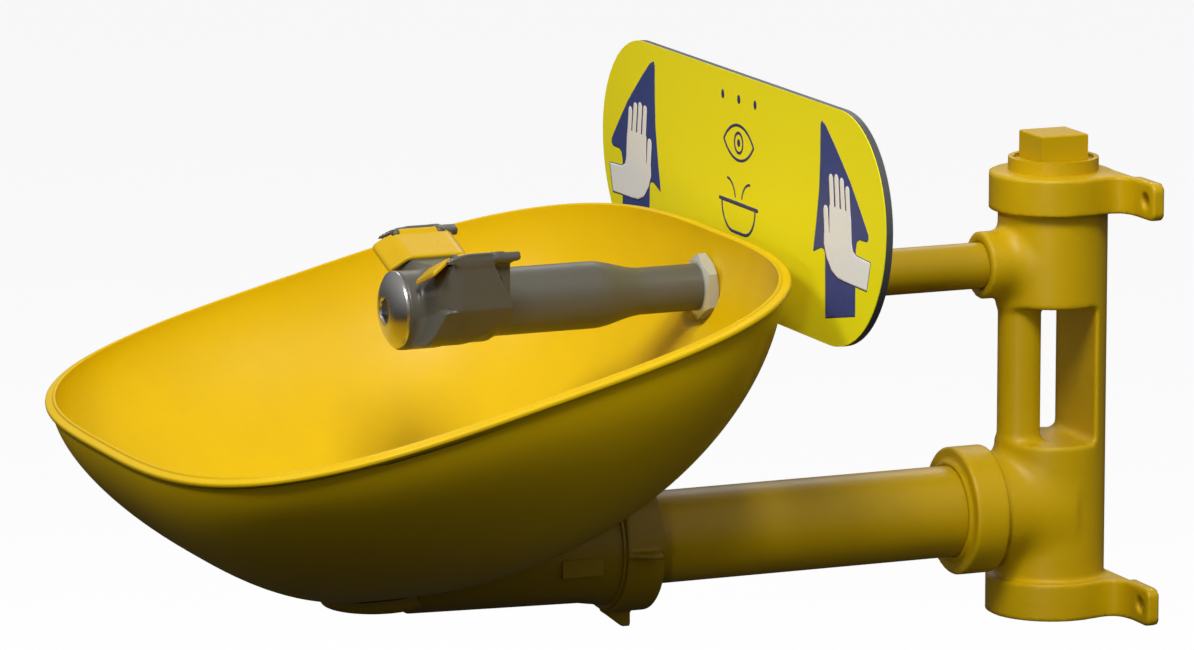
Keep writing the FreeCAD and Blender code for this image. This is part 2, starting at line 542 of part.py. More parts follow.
def valve_body():
    barrel = supply(VALVE_R, VALVE_FRONT, VALVE_MID)
    tail = hexagon(27.0, VALVE_MID, VALVE_REAR, SUPPLY_Z, math.pi / 6)
    boss = across(STEM_BOSS_R, 0, STEM_BOSS_X)
    cavity = supply(CAVITY_R, VALVE_FRONT - 1, CAVITY_END)
    bore = supply(SUPPLY_BORE_R, CAVITY_END - 1, VALVE_REAR + 1)
    thread = supply(SUPPLY_R, VALVE_REAR - 12, VALVE_REAR + 1)
    stem_way = across(STEM_R + SLIDE, 0, 40).fuse(across(PACKING_R, PACKING_X, 40))
    return fused(barrel, tail, boss).cut([cavity, bore, thread, stem_way])


def valve_adapter():
    """Screwed end piece that holds the front seat and receives the spray tube."""
    collar = hexagon(25.0, ADAPTER_FRONT, VALVE_FRONT, SUPPLY_Z, math.pi / 6)
    plug = supply(CAVITY_R - 0.02, VALVE_FRONT, SEATS[0][0])
    bore = supply(SUPPLY_BORE_R, ADAPTER_FRONT - 1, VALVE_Y)
    tube_room = supply(TUBE_R + 0.03, ADAPTER_FRONT - 1, TUBE_STOP)
    return fused(collar, plug).cut(bore).cut(tube_room)


def valve_seats():
    """Two sealing rings, one each side of the ball."""
    ball = Part.makeSphere(BALL_R + GAP, V(0, VALVE_Y, SUPPLY_Z))
    bore = supply(BALL_BORE_R + 0.2, VALVE_FRONT, VALVE_MID)
    rings = [supply(CAVITY_R - 0.05, y0, y1).cut(bore).cut(ball) for y0, y1 in SEATS]
    return Part.makeCompound(rings)


def valve_ball():
    """Ball with its bore upright, which is the closed position."""
    ball = Part.makeSphere(BALL_R, V(0, VALVE_Y, SUPPLY_Z))
    bore = rod(Z_AXIS, BALL_BORE_R, SUPPLY_Z - BALL_R - 1, SUPPLY_Z + BALL_R + 1, V(0, VALVE_Y, 0))
    half_slot = TONGUE_HALF_T + 0.1
    slot = block(BALL_R - 3, BALL_R + 1, VALVE_Y - half_slot, VALVE_Y + half_slot,
                 SUPPLY_Z - BALL_R, SUPPLY_Z + BALL_R)
    return ball.cut(bore).cut(slot)


def valve_stem():
    """Stem with a tongue in the ball's slot and a square for the handle."""
    tongue = block(BALL_R - 2.8, TONGUE_X, VALVE_Y - TONGUE_HALF_T, VALVE_Y + TONGUE_HALF_T,
                   SUPPLY_Z - TONGUE_HALF_H, SUPPLY_Z + TONGUE_HALF_H)
    shaft = across(STEM_R, TONGUE_X, YOKE_X - 0.5)
    end = across(STEM_R, YOKE_X - 0.5, STEM_END_X).common(stem_square(STEM_SQUARE))
    return fused(tongue, shaft, end)


def stem_packing():
    return across(PACKING_R - SLIDE, PACKING_X, STEM_BOSS_X - 1).cut(across(STEM_R + SLIDE, 0, 60))


def gland_nut():
    """Hexagon nut that presses the packing."""
    nut = hexagon(15.0, -3, 3, 0)
    nut.rotate(V(0, 0, 0), Z_AXIS, 90)
    nut.translate(V(STEM_BOSS_X + 3, VALVE_Y, SUPPLY_Z))
    spigot = across(PACKING_R - SLIDE, STEM_BOSS_X - 1, STEM_BOSS_X)
    return fused(nut, spigot).cut(across(STEM_R + SLIDE, 0, 60))


def handle_nut():
    nut = hexagon(13.0, 0, 5, 0)
    nut.rotate(V(0, 0, 0), Z_AXIS, -90)
    nut.translate(V(YOKE_X + YOKE_T, VALVE_Y, SUPPLY_Z))
    return nut.cut(across(STEM_R + 0.02, 0, 60))


# --- push panel ---------------------------------------------------------------------
SCREW_X, SCREW_Z = 36.0, (98.0, 116.0)
SCREW_R, SCREW_HEAD_R, SCREW_HEAD_L = 2.0, 4.0, 1.2
PANEL_BACK = PANEL_Y + LABEL_T + PANEL_T
PANEL_WIDEST_Z = 109.4
NOTCH_HALF_W, NOTCH_TOP = 17.5, 78.4
FLANGE_HALF_W, FLANGE_LOW, FLANGE_TOP = 46.0, 90.0, 124.0


def panel_outline(y):
    """Plate with large round ends; the lower corners have the larger radius."""
    side_z = PANEL_WIDEST_Z
    top_r, low_r = PANEL_TOP - side_z, side_z - PANEL_LOW
    top_x, low_x = PANEL_HALF_W - top_r, PANEL_HALF_W - low_r
    half, q = PANEL_HALF_W, math.sqrt(0.5)

    def arc(sx, cx, cz, r, sz):
        ends = [V(sx * (cx + r), y, cz), V(sx * (cx + r * q), y, cz + sz * r * q), V(sx * cx, y, cz + sz * r)]
        return Part.Arc(*ends).toShape()
    arcs = [arc(sx, cx, side_z, r, sz) for sx in (-1, 1) for cx, r, sz in ((top_x, top_r, 1), (low_x, low_r, -1))]
    lines = [Part.makeLine(V(-top_x, y, PANEL_TOP), V(top_x, y, PANEL_TOP)),
             Part.makeLine(V(-low_x, y, PANEL_LOW), V(low_x, y, PANEL_LOW))]
    return Part.Face(Part.Wire(Part.__sortEdges__(arcs + lines)))


def panel_notch():
    """Slot that lets the panel swing over the valve."""
    slot = block(-NOTCH_HALF_W, NOTCH_HALF_W, PANEL_Y - 5, PANEL_BACK + 5, PANEL_LOW - 5, NOTCH_TOP)
    return rounded(slot, 8, lambda p: abs(p.z - NOTCH_TOP) < 0.1 and abs(abs(p.x) - NOTCH_HALF_W) < 0.1)


def screw_places():
    return [V(sx * SCREW_X, 0, z) for sx in (-1, 1) for z in SCREW_Z]


def push_panel():
    plate = panel_outline(PANEL_Y + LABEL_T).extrude(V(0, PANEL_T, 0)).cut(panel_notch())
    holes = [rod(Y_AXIS, SCREW_R + 0.1, PANEL_Y - 1, PANEL_BACK + 1, p) for p in screw_places()]
    sinks = [rod(Y_AXIS, SCREW_HEAD_R + 0.2, PANEL_Y - 1, PANEL_Y + LABEL_T + SCREW_HEAD_L, p)
             for p in screw_places()]
    return plate.cut(holes + sinks)


def panel_label():
    """Printed yellow face sheet, which also hides the screw heads."""
    return panel_outline(PANEL_Y).extrude(V(0, LABEL_T, 0)).cut(panel_notch())


def handle_yoke():
    """Bent steel plate from the stem to the back of the panel."""
    flange = block(-FLANGE_HALF_W, FLANGE_HALF_W, PANEL_BACK, PANEL_BACK + YOKE_T, FLANGE_LOW, FLANGE_TOP)
    flange = rounded(flange, 6, lambda p: abs(abs(p.x) - FLANGE_HALF_W) < 0.1
                     and abs(p.y - PANEL_BACK - YOKE_T / 2) < 0.1)
    y_front, y_back, z_low = VALVE_Y - 10, VALVE_Y + 10, SUPPLY_Z - 10
    side = [(PANEL_BACK, FLANGE_TOP), (PANEL_BACK, FLANGE_LOW), (y_front, SUPPLY_Z + 2), (y_front, z_low),
            (y_back, z_low), (y_back, SUPPLY_Z + 10), (PANEL_BACK + 12, FLANGE_TOP)]
    outline = [V(YOKE_X, y, z) for y, z in side + side[:1]]
    arm = Part.Face(Part.makePolygon(outline)).extrude(V(YOKE_T, 0, 0))
    eye = across(STEM_R + 0.02, YOKE_X - 1, YOKE_X + YOKE_T + 1).common(stem_square(STEM_SQUARE + 0.02))
    holes = [rod(Y_AXIS, SCREW_R + SLIDE, PANEL_BACK - 1, PANEL_BACK + 9, p) for p in screw_places()]
    return fused(flange, arm).cut(eye).cut(holes)


def panel_screws():
    """Four countersunk screws under the face sheet."""
    screws = []
    for place in screw_places():
        under_head = PANEL_Y + LABEL_T + SCREW_HEAD_L
        head = rod(Y_AXIS, SCREW_HEAD_R, PANEL_Y + LABEL_T, under_head, place)
        screws.append(fused(head, rod(Y_AXIS, SCREW_R, under_head, PANEL_BACK + 8, place)))
    return Part.makeCompound(screws)


def panel_nuts():
    """Four hexagon nuts behind the yoke."""
    nuts = []
    for place in screw_places():
        nut = hexagon(7.0, PANEL_BACK + YOKE_T, PANEL_BACK + YOKE_T + 3.2, place.z)
        nut.translate(V(place.x, 0, 0))
        nuts.append(nut.cut(rod(Y_AXIS, SCREW_R + 0.02, PANEL_BACK, VALVE_Y, place)))
    return Part.makeCompound(nuts)


# --- the assembly -------------------------------------------------------------------
NODES = {
    "bracket_casting": bracket_casting,
    "top_plug": top_plug,
    "supply_pipe": supply_pipe,
    "waste_pipe": waste_pipe,
    "slip_nut": slip_nut,
    "slip_washer": slip_washer,
    "drain_housing": drain_housing,
    "drain_gasket": drain_gasket,
    "drain_strainer": drain_strainer,
    "strainer_screw": strainer_screw,
    "bowl": bowl,
    "tube_locknut": tube_locknut,
    "wall_washer": wall_washer,
    "backing_nut": backing_nut,
    "spray_body": spray_body,
    "flow_regulator": flow_regulator,
    "end_cap": end_cap,
    "cap_seal": cap_seal,
    "spray_rose_right": spray_rose,
    "spray_rose_left": lambda: mirrored(spray_rose()),
    "dust_cover_right": dust_cover,
    "dust_cover_left": lambda: mirrored(dust_cover()),
    "cover_pin_right": cover_pin,
    "cover_pin_left": lambda: mirrored(cover_pin()),
    "valve_body": valve_body,
    "valve_adapter": valve_adapter,
    "valve_seats": valve_seats,
    "valve_ball": valve_ball,
    "valve_stem": valve_stem,
    "stem_packing": stem_packing,
    "gland_nut": gland_nut,
    "handle_yoke": handle_yoke,
    "handle_nut": handle_nut,
    "push_panel": push_panel,
    "panel_label": panel_label,
    "panel_screws": panel_screws,
    "panel_nuts": panel_nuts,
}

os.makedirs("parts", exist_ok=True)
for name, make in NODES.items():
    shape = make()
    print(name, "solids", len(shape.Solids), "valid", shape.isValid(), "volume", round(shape.Volume))
    shape.exportStep("parts/" + name + ".step")
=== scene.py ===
# %% [markdown]
# # A wall-mounted eyewash station
# The station hangs on the wall by four bolts. A cast bracket feeds a spray head through a
# half-inch pipe and takes the water away through a larger one. The bowl catches the spray,
# and pushing the yellow panel opens a ball valve. The CAD frame is loaded first: every new
# piece is measured from it, and rides on one of its bodies.

import json
import math

import bpy
import numpy as np
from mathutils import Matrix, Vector


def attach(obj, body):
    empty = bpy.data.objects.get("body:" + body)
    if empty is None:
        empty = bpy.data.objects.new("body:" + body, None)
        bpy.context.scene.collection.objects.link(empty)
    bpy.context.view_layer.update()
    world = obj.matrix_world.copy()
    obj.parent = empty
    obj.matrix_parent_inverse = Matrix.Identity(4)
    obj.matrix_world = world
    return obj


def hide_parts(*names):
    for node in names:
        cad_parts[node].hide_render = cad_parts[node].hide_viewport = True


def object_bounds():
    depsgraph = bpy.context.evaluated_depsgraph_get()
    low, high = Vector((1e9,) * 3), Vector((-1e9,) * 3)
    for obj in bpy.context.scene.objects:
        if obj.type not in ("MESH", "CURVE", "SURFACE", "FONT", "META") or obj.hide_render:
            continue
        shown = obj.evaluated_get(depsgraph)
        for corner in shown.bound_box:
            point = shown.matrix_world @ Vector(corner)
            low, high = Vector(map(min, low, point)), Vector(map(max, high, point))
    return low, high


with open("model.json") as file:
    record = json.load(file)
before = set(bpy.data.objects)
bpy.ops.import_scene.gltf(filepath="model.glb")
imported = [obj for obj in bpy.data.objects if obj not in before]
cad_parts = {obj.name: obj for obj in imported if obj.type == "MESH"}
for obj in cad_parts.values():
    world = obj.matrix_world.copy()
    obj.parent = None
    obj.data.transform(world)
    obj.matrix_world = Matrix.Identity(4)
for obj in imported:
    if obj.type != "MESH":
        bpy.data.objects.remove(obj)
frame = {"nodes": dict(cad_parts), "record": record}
cad_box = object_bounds()

# %% [markdown]
# ## Turning arrays into meshes
# A piece is a set of points and a set of faces, worked out as whole arrays. A face row holds
# the numbers of its four corners. Blender's foreach_set takes such arrays as they are, which is
# far quicker than adding one vertex at a time. The points are in millimetres, as a maker
# would write them, and are turned into metres here.

# %% Arrays to a mesh
MM = 0.001


def make_piece(name, points, faces, body, slot, material, stands_for=()):
    """One smooth mesh from points in millimetres and rows of four corner numbers."""
    mesh = bpy.data.meshes.new(name)
    mesh.vertices.add(len(points))
    mesh.vertices.foreach_set("co", (np.asarray(points, float) * MM).ravel())
    mesh.loops.add(faces.size)
    mesh.loops.foreach_set("vertex_index", faces.ravel().astype(np.int32))
    mesh.polygons.add(len(faces))
    mesh.polygons.foreach_set("loop_start", np.arange(0, faces.size, faces.shape[1], dtype=np.int32))
    mesh.update(calc_edges=True)
    mesh.validate()
    mesh.shade_smooth()
    mesh.materials.append(material)
    thing = bpy.data.objects.new(name, mesh)
    bpy.context.collection.objects.link(thing)
    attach(thing, body)
    if stands_for:
        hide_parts(*stands_for)
    print(f"{name}: {len(points)} points, {len(faces)} faces")


print("1 mm is", MM, "m in the frame")

# %% [markdown]
# ## Distance fields
# Castings and mouldings run from one form into the next through soft fillets. A distance
# field makes that easy: it is a function that gives, for any point, how far the point is
# outside the form, and a negative value inside. The union of two forms is the smaller of
# their two values, and a fillet is a union whose change from one to the other is eased.

# %% Joining and cutting
def joined(a, b, fillet=0.0):
    """Union: min(a, b), less h squared times fillet / 4 where |a - b| < fillet, h = 1 - |a - b| / fillet."""
    if not fillet:
        return np.minimum(a, b)
    h = np.clip(1 - np.abs(a - b) / fillet, 0, 1)
    return np.minimum(a, b) - h * h * fillet / 4


def cut_away(a, b, fillet=0.0):
    """The part of a that is outside b."""
    return -joined(-a, b, fillet)


def both(a, b, fillet=0.0):
    """The part that is inside a and inside b."""
    return -joined(-a, -b, fillet)


print("a fillet of 4 mm fills", -float(joined(0.0, 0.0, 4.0)), "mm where two faces meet")

# %% [markdown]
# The simplest forms are a round rod, a block and a flat outline. Each takes distances that are
# already measured from its own axis or centre, so one function serves for every direction. The
# length outside a corner is the hypotenuse of how far the point is past each face.

# %% Rods, blocks and outlines
def field_rod(across, high, radius, low, top, edge=0.0):
    """Cylinder: across is the distance from its axis, and it runs from low to top along high.

    Inside it's the larger of the steps past side and end; outside it's their hypotenuse."""
    dx = across - radius + edge
    dy = np.abs(high - (low + top) / 2) - (top - low) / 2 + edge
    return np.minimum(np.maximum(dx, dy), 0) + np.hypot(np.maximum(dx, 0), np.maximum(dy, 0)) - edge


def field_block(x, y, z, low, top, edge=0.0):
    """Box: inside it's the largest step past a face, and outside the length of the three steps."""
    away = [np.abs(c - (a + b) / 2) - (b - a) / 2 + edge for c, a, b in zip((x, y, z), low, top)]
    inside = np.minimum(np.maximum(np.maximum(away[0], away[1]), away[2]), 0)
    outside = np.sqrt(sum(np.maximum(d, 0) ** 2 for d in away))
    return inside + outside - edge


def field_outline(x, y, corners):
    """Distance to the nearest edge, negative where an odd number of edges lie beyond the point."""
    nearest = np.full(np.broadcast(x, y).shape, 1e9)
    inside = np.zeros(nearest.shape, bool)
    for (ax, ay), (bx, by) in zip(corners, corners[1:] + corners[:1]):
        ex, ey = bx - ax, by - ay
        along = np.clip(((x - ax) * ex + (y - ay) * ey) / (ex * ex + ey * ey), 0, 1)
        nearest = np.minimum(nearest, np.hypot(x - ax - along * ex, y - ay - along * ey))
        if ey:
            crosses = ((ay > y) != (by > y)) & (x < ax + (y - ay) * ex / ey)
            inside ^= crosses
    return np.where(inside, -nearest, nearest)


print("10 mm along from a rod's end:", float(field_rod(0.0, 20.0, 5.0, -10.0, 10.0)), "mm outside")

# %% [markdown]
# ## From a field to a surface
# A field isn't a mesh yet. Surface nets lay a grid through the space, put one point in each
# cell that the surface passes through, and join the points of neighbouring cells. The points
# are then moved onto the surface along the field's slope, so flat faces come out flat.

# %% Surface nets
NUDGE = 0.05


def skin(field, low, top, step, settle=3):
    """Surface nets: one point in each grid cell that the surface passes through, the mean of where it
    crosses the cell's edges, and one face across each grid edge whose ends lie on opposite sides.
    The points then move along the field's slope until the field is zero there."""
    axes = [np.arange(a - step, b + 2 * step, step) for a, b in zip(low, top)]
    grid = np.meshgrid(*axes, indexing="ij", sparse=True)
    value = field(*grid)
    inside = value < 0
    cells = tuple(n - 1 for n in value.shape)
    total, count = np.zeros(cells + (3,)), np.zeros(cells)
    for axis in range(3):
        others = [a for a in range(3) if a != axis]
        first = [slice(None)] * 3
        second = [slice(None)] * 3
        first[axis], second[axis] = slice(None, -1), slice(1, None)
        a, b = value[tuple(first)], value[tuple(second)]
        cross = (a < 0) != (b < 0)
        share = np.where(cross, a / np.where(cross, a - b, 1), 0)
        for du in (0, 1):
            for dv in (0, 1):
                part = [slice(None)] * 3
                part[others[0]] = slice(du, du + cells[others[0]])
                part[others[1]] = slice(dv, dv + cells[others[1]])
                c, s = cross[tuple(part)], share[tuple(part)]
                total[..., axis] += np.where(c, s, 0)
                total[..., others[0]] += np.where(c, du, 0)
                total[..., others[1]] += np.where(c, dv, 0)
                count += c
    used = count > 0
    number = np.full(cells, -1)
    number[used] = np.arange(used.sum())
    points = total[used] / count[used][:, None] + np.argwhere(used)
    points = points * step + np.array([a[0] for a in axes])
    faces = []
    for axis in range(3):
        u, v = (axis + 1) % 3, (axis + 2) % 3
        moved = np.moveaxis(inside, (axis, u, v), (0, 1, 2))
        ids = np.moveaxis(number, (axis, u, v), (0, 1, 2))
        a, b = moved[:-1, 1:-1, 1:-1], moved[1:, 1:-1, 1:-1]
        corners = np.stack([ids[:, :-1, :-1], ids[:, 1:, :-1], ids[:, 1:, 1:], ids[:, :-1, 1:]], -1)
        faces += [corners[a & ~b], corners[~a & b][:, ::-1]]
    faces = np.concatenate(faces)
    for _ in range(settle):
        here = field(*points.T)
        changes = [field(*(points + d).T) - field(*(points - d).T) for d in np.eye(3) * NUDGE]
        slope = np.stack(changes, -1) / (2 * NUDGE)
        size = np.maximum((slope ** 2).sum(-1), 0.25)
        points = points - slope * np.clip(here / size, -step / 2, step / 2)[:, None]
    return points, faces


def ball(x, y, z):
    """A ball of 5 mm radius, to try the skin on: the distance to its centre less 5."""
    return np.sqrt(x * x + y * y + z * z) - 5


ball_points, ball_faces = skin(ball, (-5, -5, -5), (5, 5, 5), 1.0)
ball_radius = float(np.linalg.norm(ball_points, axis=1).mean())
print("a ball of 5 mm radius comes out with", len(ball_faces), "faces and radius", round(ball_radius, 3))

# %% [markdown]
# ## Finishes
# Powder coat, moulded plastic and print all show a faint unevenness of tone, a slow orange
# peel and a fine grain. An image could carry that, but noise needs no unwrapping and stays
# sharp close up. The effect comes back on every material, so it is a node group that is built
# once. These helpers place and link the few kinds of node that it needs.

# %% Node helpers
def new_group(name, ins, outs):
    """An empty shader node group with named sockets."""
    group = bpy.data.node_groups.new(name, "ShaderNodeTree")
    for label, kind, value in ins:
        socket = group.interface.new_socket(label, in_out="INPUT", socket_type=kind)
        socket.default_value = value
    for label, kind in outs:
        group.interface.new_socket(label, in_out="OUTPUT", socket_type=kind)
    return group, group.nodes.new("NodeGroupInput"), group.nodes.new("NodeGroupOutput")


def noise(tree, vector, scale, detail, rough):
    """Noise texture on the given coordinates; its scale may be a number or a socket."""
    node = tree.nodes.new("ShaderNodeTexNoise")
    node.inputs["Detail"].default_value = detail
    node.inputs["Roughness"].default_value = rough
    tree.links.new(vector, node.inputs["Vector"])
    if isinstance(scale, float):
        node.inputs["Scale"].default_value = scale
    else:
        tree.links.new(scale, node.inputs["Scale"])
    return node.outputs["Fac"]


def math_node(tree, operation, a, b, clamp=False):
    """Math node whose two values are sockets or numbers."""
    node = tree.nodes.new("ShaderNodeMath")
    node.operation = operation
    node.use_clamp = clamp
    for socket, value in zip(node.inputs, (a, b)):
        if isinstance(value, float):
            socket.default_value = value
        else:
            tree.links.new(value, socket)
    return node.outputs[0]


def spread(tree, value, low, high, new_low, new_high):
    """Maps a value from one range to another and keeps it inside."""
    node = tree.nodes.new("ShaderNodeMapRange")
    for label, number in zip(("From Min", "From Max", "To Min", "To Max"), (low, high, new_low, new_high)):
        node.inputs[label].default_value = number
    tree.links.new(value, node.inputs["Value"])
    return node.outputs["Result"]


def mix_colour(tree, share, a, b):
    """Colour between a and b by share; all three are sockets."""
    node = tree.nodes.new("ShaderNodeMix")
    node.data_type = "RGBA"
    for socket, value in ((node.inputs[0], share), (node.inputs[6], a), (node.inputs[7], b)):
        tree.links.new(value, socket)
    return node.outputs[2]


print("node helpers ready in", bpy.app.version_string)

# %% [markdown]
# The group takes a colour and a slightly darker shade, and hands out a colour, a roughness and
# a height. It reads Object coordinates, so the pattern has the same size on every piece. The
# shader itself stays in each material, with its constant values on its own sockets.

# %% The coat group
def build_coat():
    """Tone between two colours by slow noise, roughness by finer noise, height from peel and grain."""
    ins = [("Colour", "NodeSocketColor", (0.5, 0.5, 0.5, 1)),
           ("Shade", "NodeSocketColor", (0.4, 0.4, 0.4, 1)),
           ("Peel Scale", "NodeSocketFloat", 500.0), ("Grain Scale", "NodeSocketFloat", 2500.0),
           ("Grain Share", "NodeSocketFloat", 0.4), ("Rough", "NodeSocketFloat", 0.4),
           ("Rough Spread", "NodeSocketFloat", 0.06), ("Scuff", "NodeSocketFloat", 0.2)]
    outs = [("Colour", "NodeSocketColor"), ("Roughness", "NodeSocketFloat"), ("Height", "NodeSocketFloat")]
    group, source, sink = new_group("coat", ins, outs)
    where = group.nodes.new("ShaderNodeTexCoord").outputs["Object"]
    slow = noise(group, where, 9.0, 3.0, 0.55)
    cloud = noise(group, where, 45.0, 4.0, 0.6)
    peel = noise(group, where, source.outputs["Peel Scale"], 2.0, 0.5)
    grain = noise(group, where, source.outputs["Grain Scale"], 2.0, 0.6)
    slow_part, cloud_part = math_node(group, "MULTIPLY", slow, 0.6), math_node(group, "MULTIPLY", cloud, 0.4)
    tone = math_node(group, "ADD", slow_part, cloud_part)
    share = spread(group, tone, 0.35, 0.65, 0.0, 1.0)
    speck = spread(group, grain, 0.62, 0.75, 0.0, 0.35)
    colour = mix_colour(group, share, source.outputs["Colour"], source.outputs["Shade"])
    scuffed = math_node(group, "MULTIPLY", speck, source.outputs["Scuff"])
    colour = mix_colour(group, scuffed, colour, source.outputs["Shade"])
    group.links.new(colour, sink.inputs["Colour"])
    swing = math_node(group, "SUBTRACT", cloud, 0.5)
    swing = math_node(group, "MULTIPLY", swing, source.outputs["Rough Spread"])
    swing = math_node(group, "MULTIPLY", swing, 4.0)
    rough = math_node(group, "ADD", source.outputs["Rough"], swing, clamp=True)
    group.links.new(rough, sink.inputs["Roughness"])
    grains = math_node(group, "MULTIPLY", grain, source.outputs["Grain Share"])
    group.links.new(math_node(group, "ADD", peel, grains), sink.inputs["Height"])
    return group


COAT = build_coat()
print("coat group:", len(COAT.nodes), "nodes")

# %% [markdown]
# A finish is then a Principled shader with the coat group in front of it. Only a few values
# change from one finish to the next: the two colours, the roughness, the size of the peel
# and how far it stands out.

# %% A coated material
GRAIN_SCALE, ROUGH_SPREAD, SCUFF = 2500.0, 0.06, 0.4


def coated(name, colour, shade, rough, peel=500.0, grain_share=0.4, bump=0.00006, metallic=0.0, specular=0.5):
    """A material that reads the coat group; bump is the height of the peel in metres."""
    material = bpy.data.materials.new(name)
    material.use_nodes = True
    tree = material.node_tree
    shader = tree.nodes["Principled BSDF"]
    shader.inputs["Metallic"].default_value = metallic
    shader.inputs["Specular IOR Level"].default_value = specular
    group = tree.nodes.new("ShaderNodeGroup")
    group.node_tree = COAT
    values = {"Colour": (*colour, 1), "Shade": (*shade, 1), "Peel Scale": peel, "Grain Scale": GRAIN_SCALE,
              "Grain Share": grain_share, "Rough": rough, "Rough Spread": ROUGH_SPREAD, "Scuff": SCUFF}
    for label, value in values.items():
        group.inputs[label].default_value = value
    bumps = tree.nodes.new("ShaderNodeBump")
    bumps.inputs["Distance"].default_value = bump
    tree.links.new(group.outputs["Colour"], shader.inputs["Base Color"])
    tree.links.new(group.outputs["Roughness"], shader.inputs["Roughness"])
    tree.links.new(group.outputs["Height"], bumps.inputs["Height"])
    tree.links.new(bumps.outputs["Normal"], shader.inputs["Normal"])
    return material


print("grain scale", GRAIN_SCALE, "on every finish")

# %% [markdown]
# The castings and pipes have a mustard powder coat with a visible peel. The bowl and covers are
# moulded in a more golden yellow. The spray head is dark grey plastic, and small metal parts
# are steel, nickel or brass. Each finish is given to the CAD pieces whose slot has its name.

# %% The finishes
FINISH = {
    "yellow_casting": coated("casting_coat", (0.56, 0.35, 0.001), (0.49, 0.305, 0.001), 0.38, peel=420,
                             bump=0.00010, grain_share=0.6, specular=0.25),
    "yellow_pipe": coated("pipe_coat", (0.48, 0.30, 0.001), (0.42, 0.262, 0.001), 0.33, peel=350,
                          bump=0.00004, specular=0.35),
    "yellow_moulding": coated("moulded_yellow", (0.30, 0.187, 0.001), (0.26, 0.16, 0.001), 0.36, peel=700,
                              bump=0.00003, specular=0.35),
    "bowl_yellow": coated("bowl_yellow", (0.69, 0.445, 0.001), (0.64, 0.41, 0.001), 0.36, peel=600,
                          bump=0.00003, specular=0.18),
    "cover_yellow": coated("cover_yellow", (0.60, 0.37, 0.001), (0.55, 0.335, 0.001), 0.30, peel=900,
                           bump=0.00002, specular=0.25),
    "grey_moulding": coated("grey_moulding", (0.095, 0.090, 0.072), (0.082, 0.077, 0.060), 0.36, peel=900,
                            bump=0.00002),
    "rose_plastic": coated("rose_plastic", (0.03, 0.03, 0.03), (0.02, 0.02, 0.02), 0.5),
    "seal_rubber": coated("seal_rubber", (0.012, 0.012, 0.012), (0.02, 0.02, 0.02), 0.65),
    "stainless": coated("stainless", (0.60, 0.59, 0.57), (0.54, 0.53, 0.51), 0.24, metallic=1.0,
                        bump=0.00001),
    "nickel": coated("nickel", (0.56, 0.56, 0.48), (0.50, 0.50, 0.42), 0.36, metallic=0.4, bump=0.00002),
    "brass": coated("brass", (0.60, 0.44, 0.18), (0.52, 0.38, 0.15), 0.30, metallic=1.0, bump=0.00002),
    "seat_plastic": coated("seat_plastic", (0.85, 0.85, 0.82), (0.8, 0.8, 0.78), 0.45),
    "chrome_ball": coated("chrome_ball", (0.72, 0.72, 0.74), (0.7, 0.7, 0.72), 0.06, metallic=1.0, bump=0.0),
    "panel_grey": coated("panel_board", (0.075, 0.075, 0.08), (0.06, 0.06, 0.065), 0.45),
    "label_yellow": coated("label_print", (0.96, 0.85, 0.010), (0.95, 0.84, 0.009), 0.36, bump=0.00001,
                           specular=0.3),
}

for entry in frame["record"]["subparts"]:
    node = frame["nodes"][entry["node"]]
    for place in node.material_slots:
        place.material = FINISH[entry["material_slot"]]

# %% [markdown]
# ## The bowl
# The bowl's plan outline is a superellipse: a shape between an ellipse and a rectangle. Going
# down from the tilted rim, the outline shrinks slowly at first and fast at the bottom, turns
# level and drifts to the front. It could be a hand-made cage under a subdivision modifier. One
# formula with one parameter, the share of the depth, is shorter and keeps every level smooth.

# %% The bowl's outline and sections
HALF_W, HALF_L, POWER = 160.0, 152.0, 3.25
RIM_Y, RIM_Z, LOW_Y, LOW_Z = -347.5, 49.0, -375.0, -67.0
RIM_TILT = math.radians(14.36)
SHRINK_POWER, SHRINK_ROOT, DRIFT_POWER = 1.614, 1.81, 2.14
WALL = 2.2
FINE_TURNS = 24000


def unit_outline(count, centre_share=0.14):
    """Points (x, y) on |x|^n + |y|^n = 1, even along the curve but closer together at the back's middle."""
    angle = np.linspace(0, 2 * np.pi, FINE_TURNS + 1)
    c, s = np.cos(angle), np.sin(angle)
    x = np.sign(c) * np.abs(c) ** (2 / POWER)
    y = np.sign(s) * np.abs(s) ** (2 / POWER)
    length = np.hypot(np.diff(x) * HALF_W, np.diff(y) * HALF_L)
    near_tube = (np.abs(x[1:]) < 0.17) & (y[1:] > 0)
    weight = length / length.sum() + np.where(near_tube, length, 0) / length[near_tube].sum() * centre_share
    run = np.concatenate([[0], np.cumsum(weight)])
    picks = np.interp(np.arange(count) / count * run[-1], run, np.arange(run.size))
    return np.interp(picks, np.arange(x.size), x), np.interp(picks, np.arange(y.size), y)


def section(depth, grow):
    """Half width, half length, centre y and z, and tilt of the outline at a share d of the depth.

    The size shrinks by (1 - d^a)^(1/b), and the centre drifts to the front by d^c."""
    shrink = (1 - depth ** SHRINK_POWER) ** (1 / SHRINK_ROOT)
    centre_y = RIM_Y + (LOW_Y - RIM_Y) * depth ** DRIFT_POWER
    centre_z = RIM_Z + (LOW_Z - grow - RIM_Z) * depth
    return (HALF_W + grow) * shrink, (HALF_L + grow) * shrink, centre_y, centre_z, RIM_TILT * (1 - depth)


def wall_rows(depths, grow, ux, uy):
    """Points of the wall: x = half width * ux; the outline's y is tilted about its centre."""
    a, b, cy, cz, tilt = [v[:, None] for v in section(np.asarray(depths), grow)]
    return np.stack([a * ux, cy + b * uy * np.cos(tilt), cz + b * uy * np.sin(tilt)], -1)


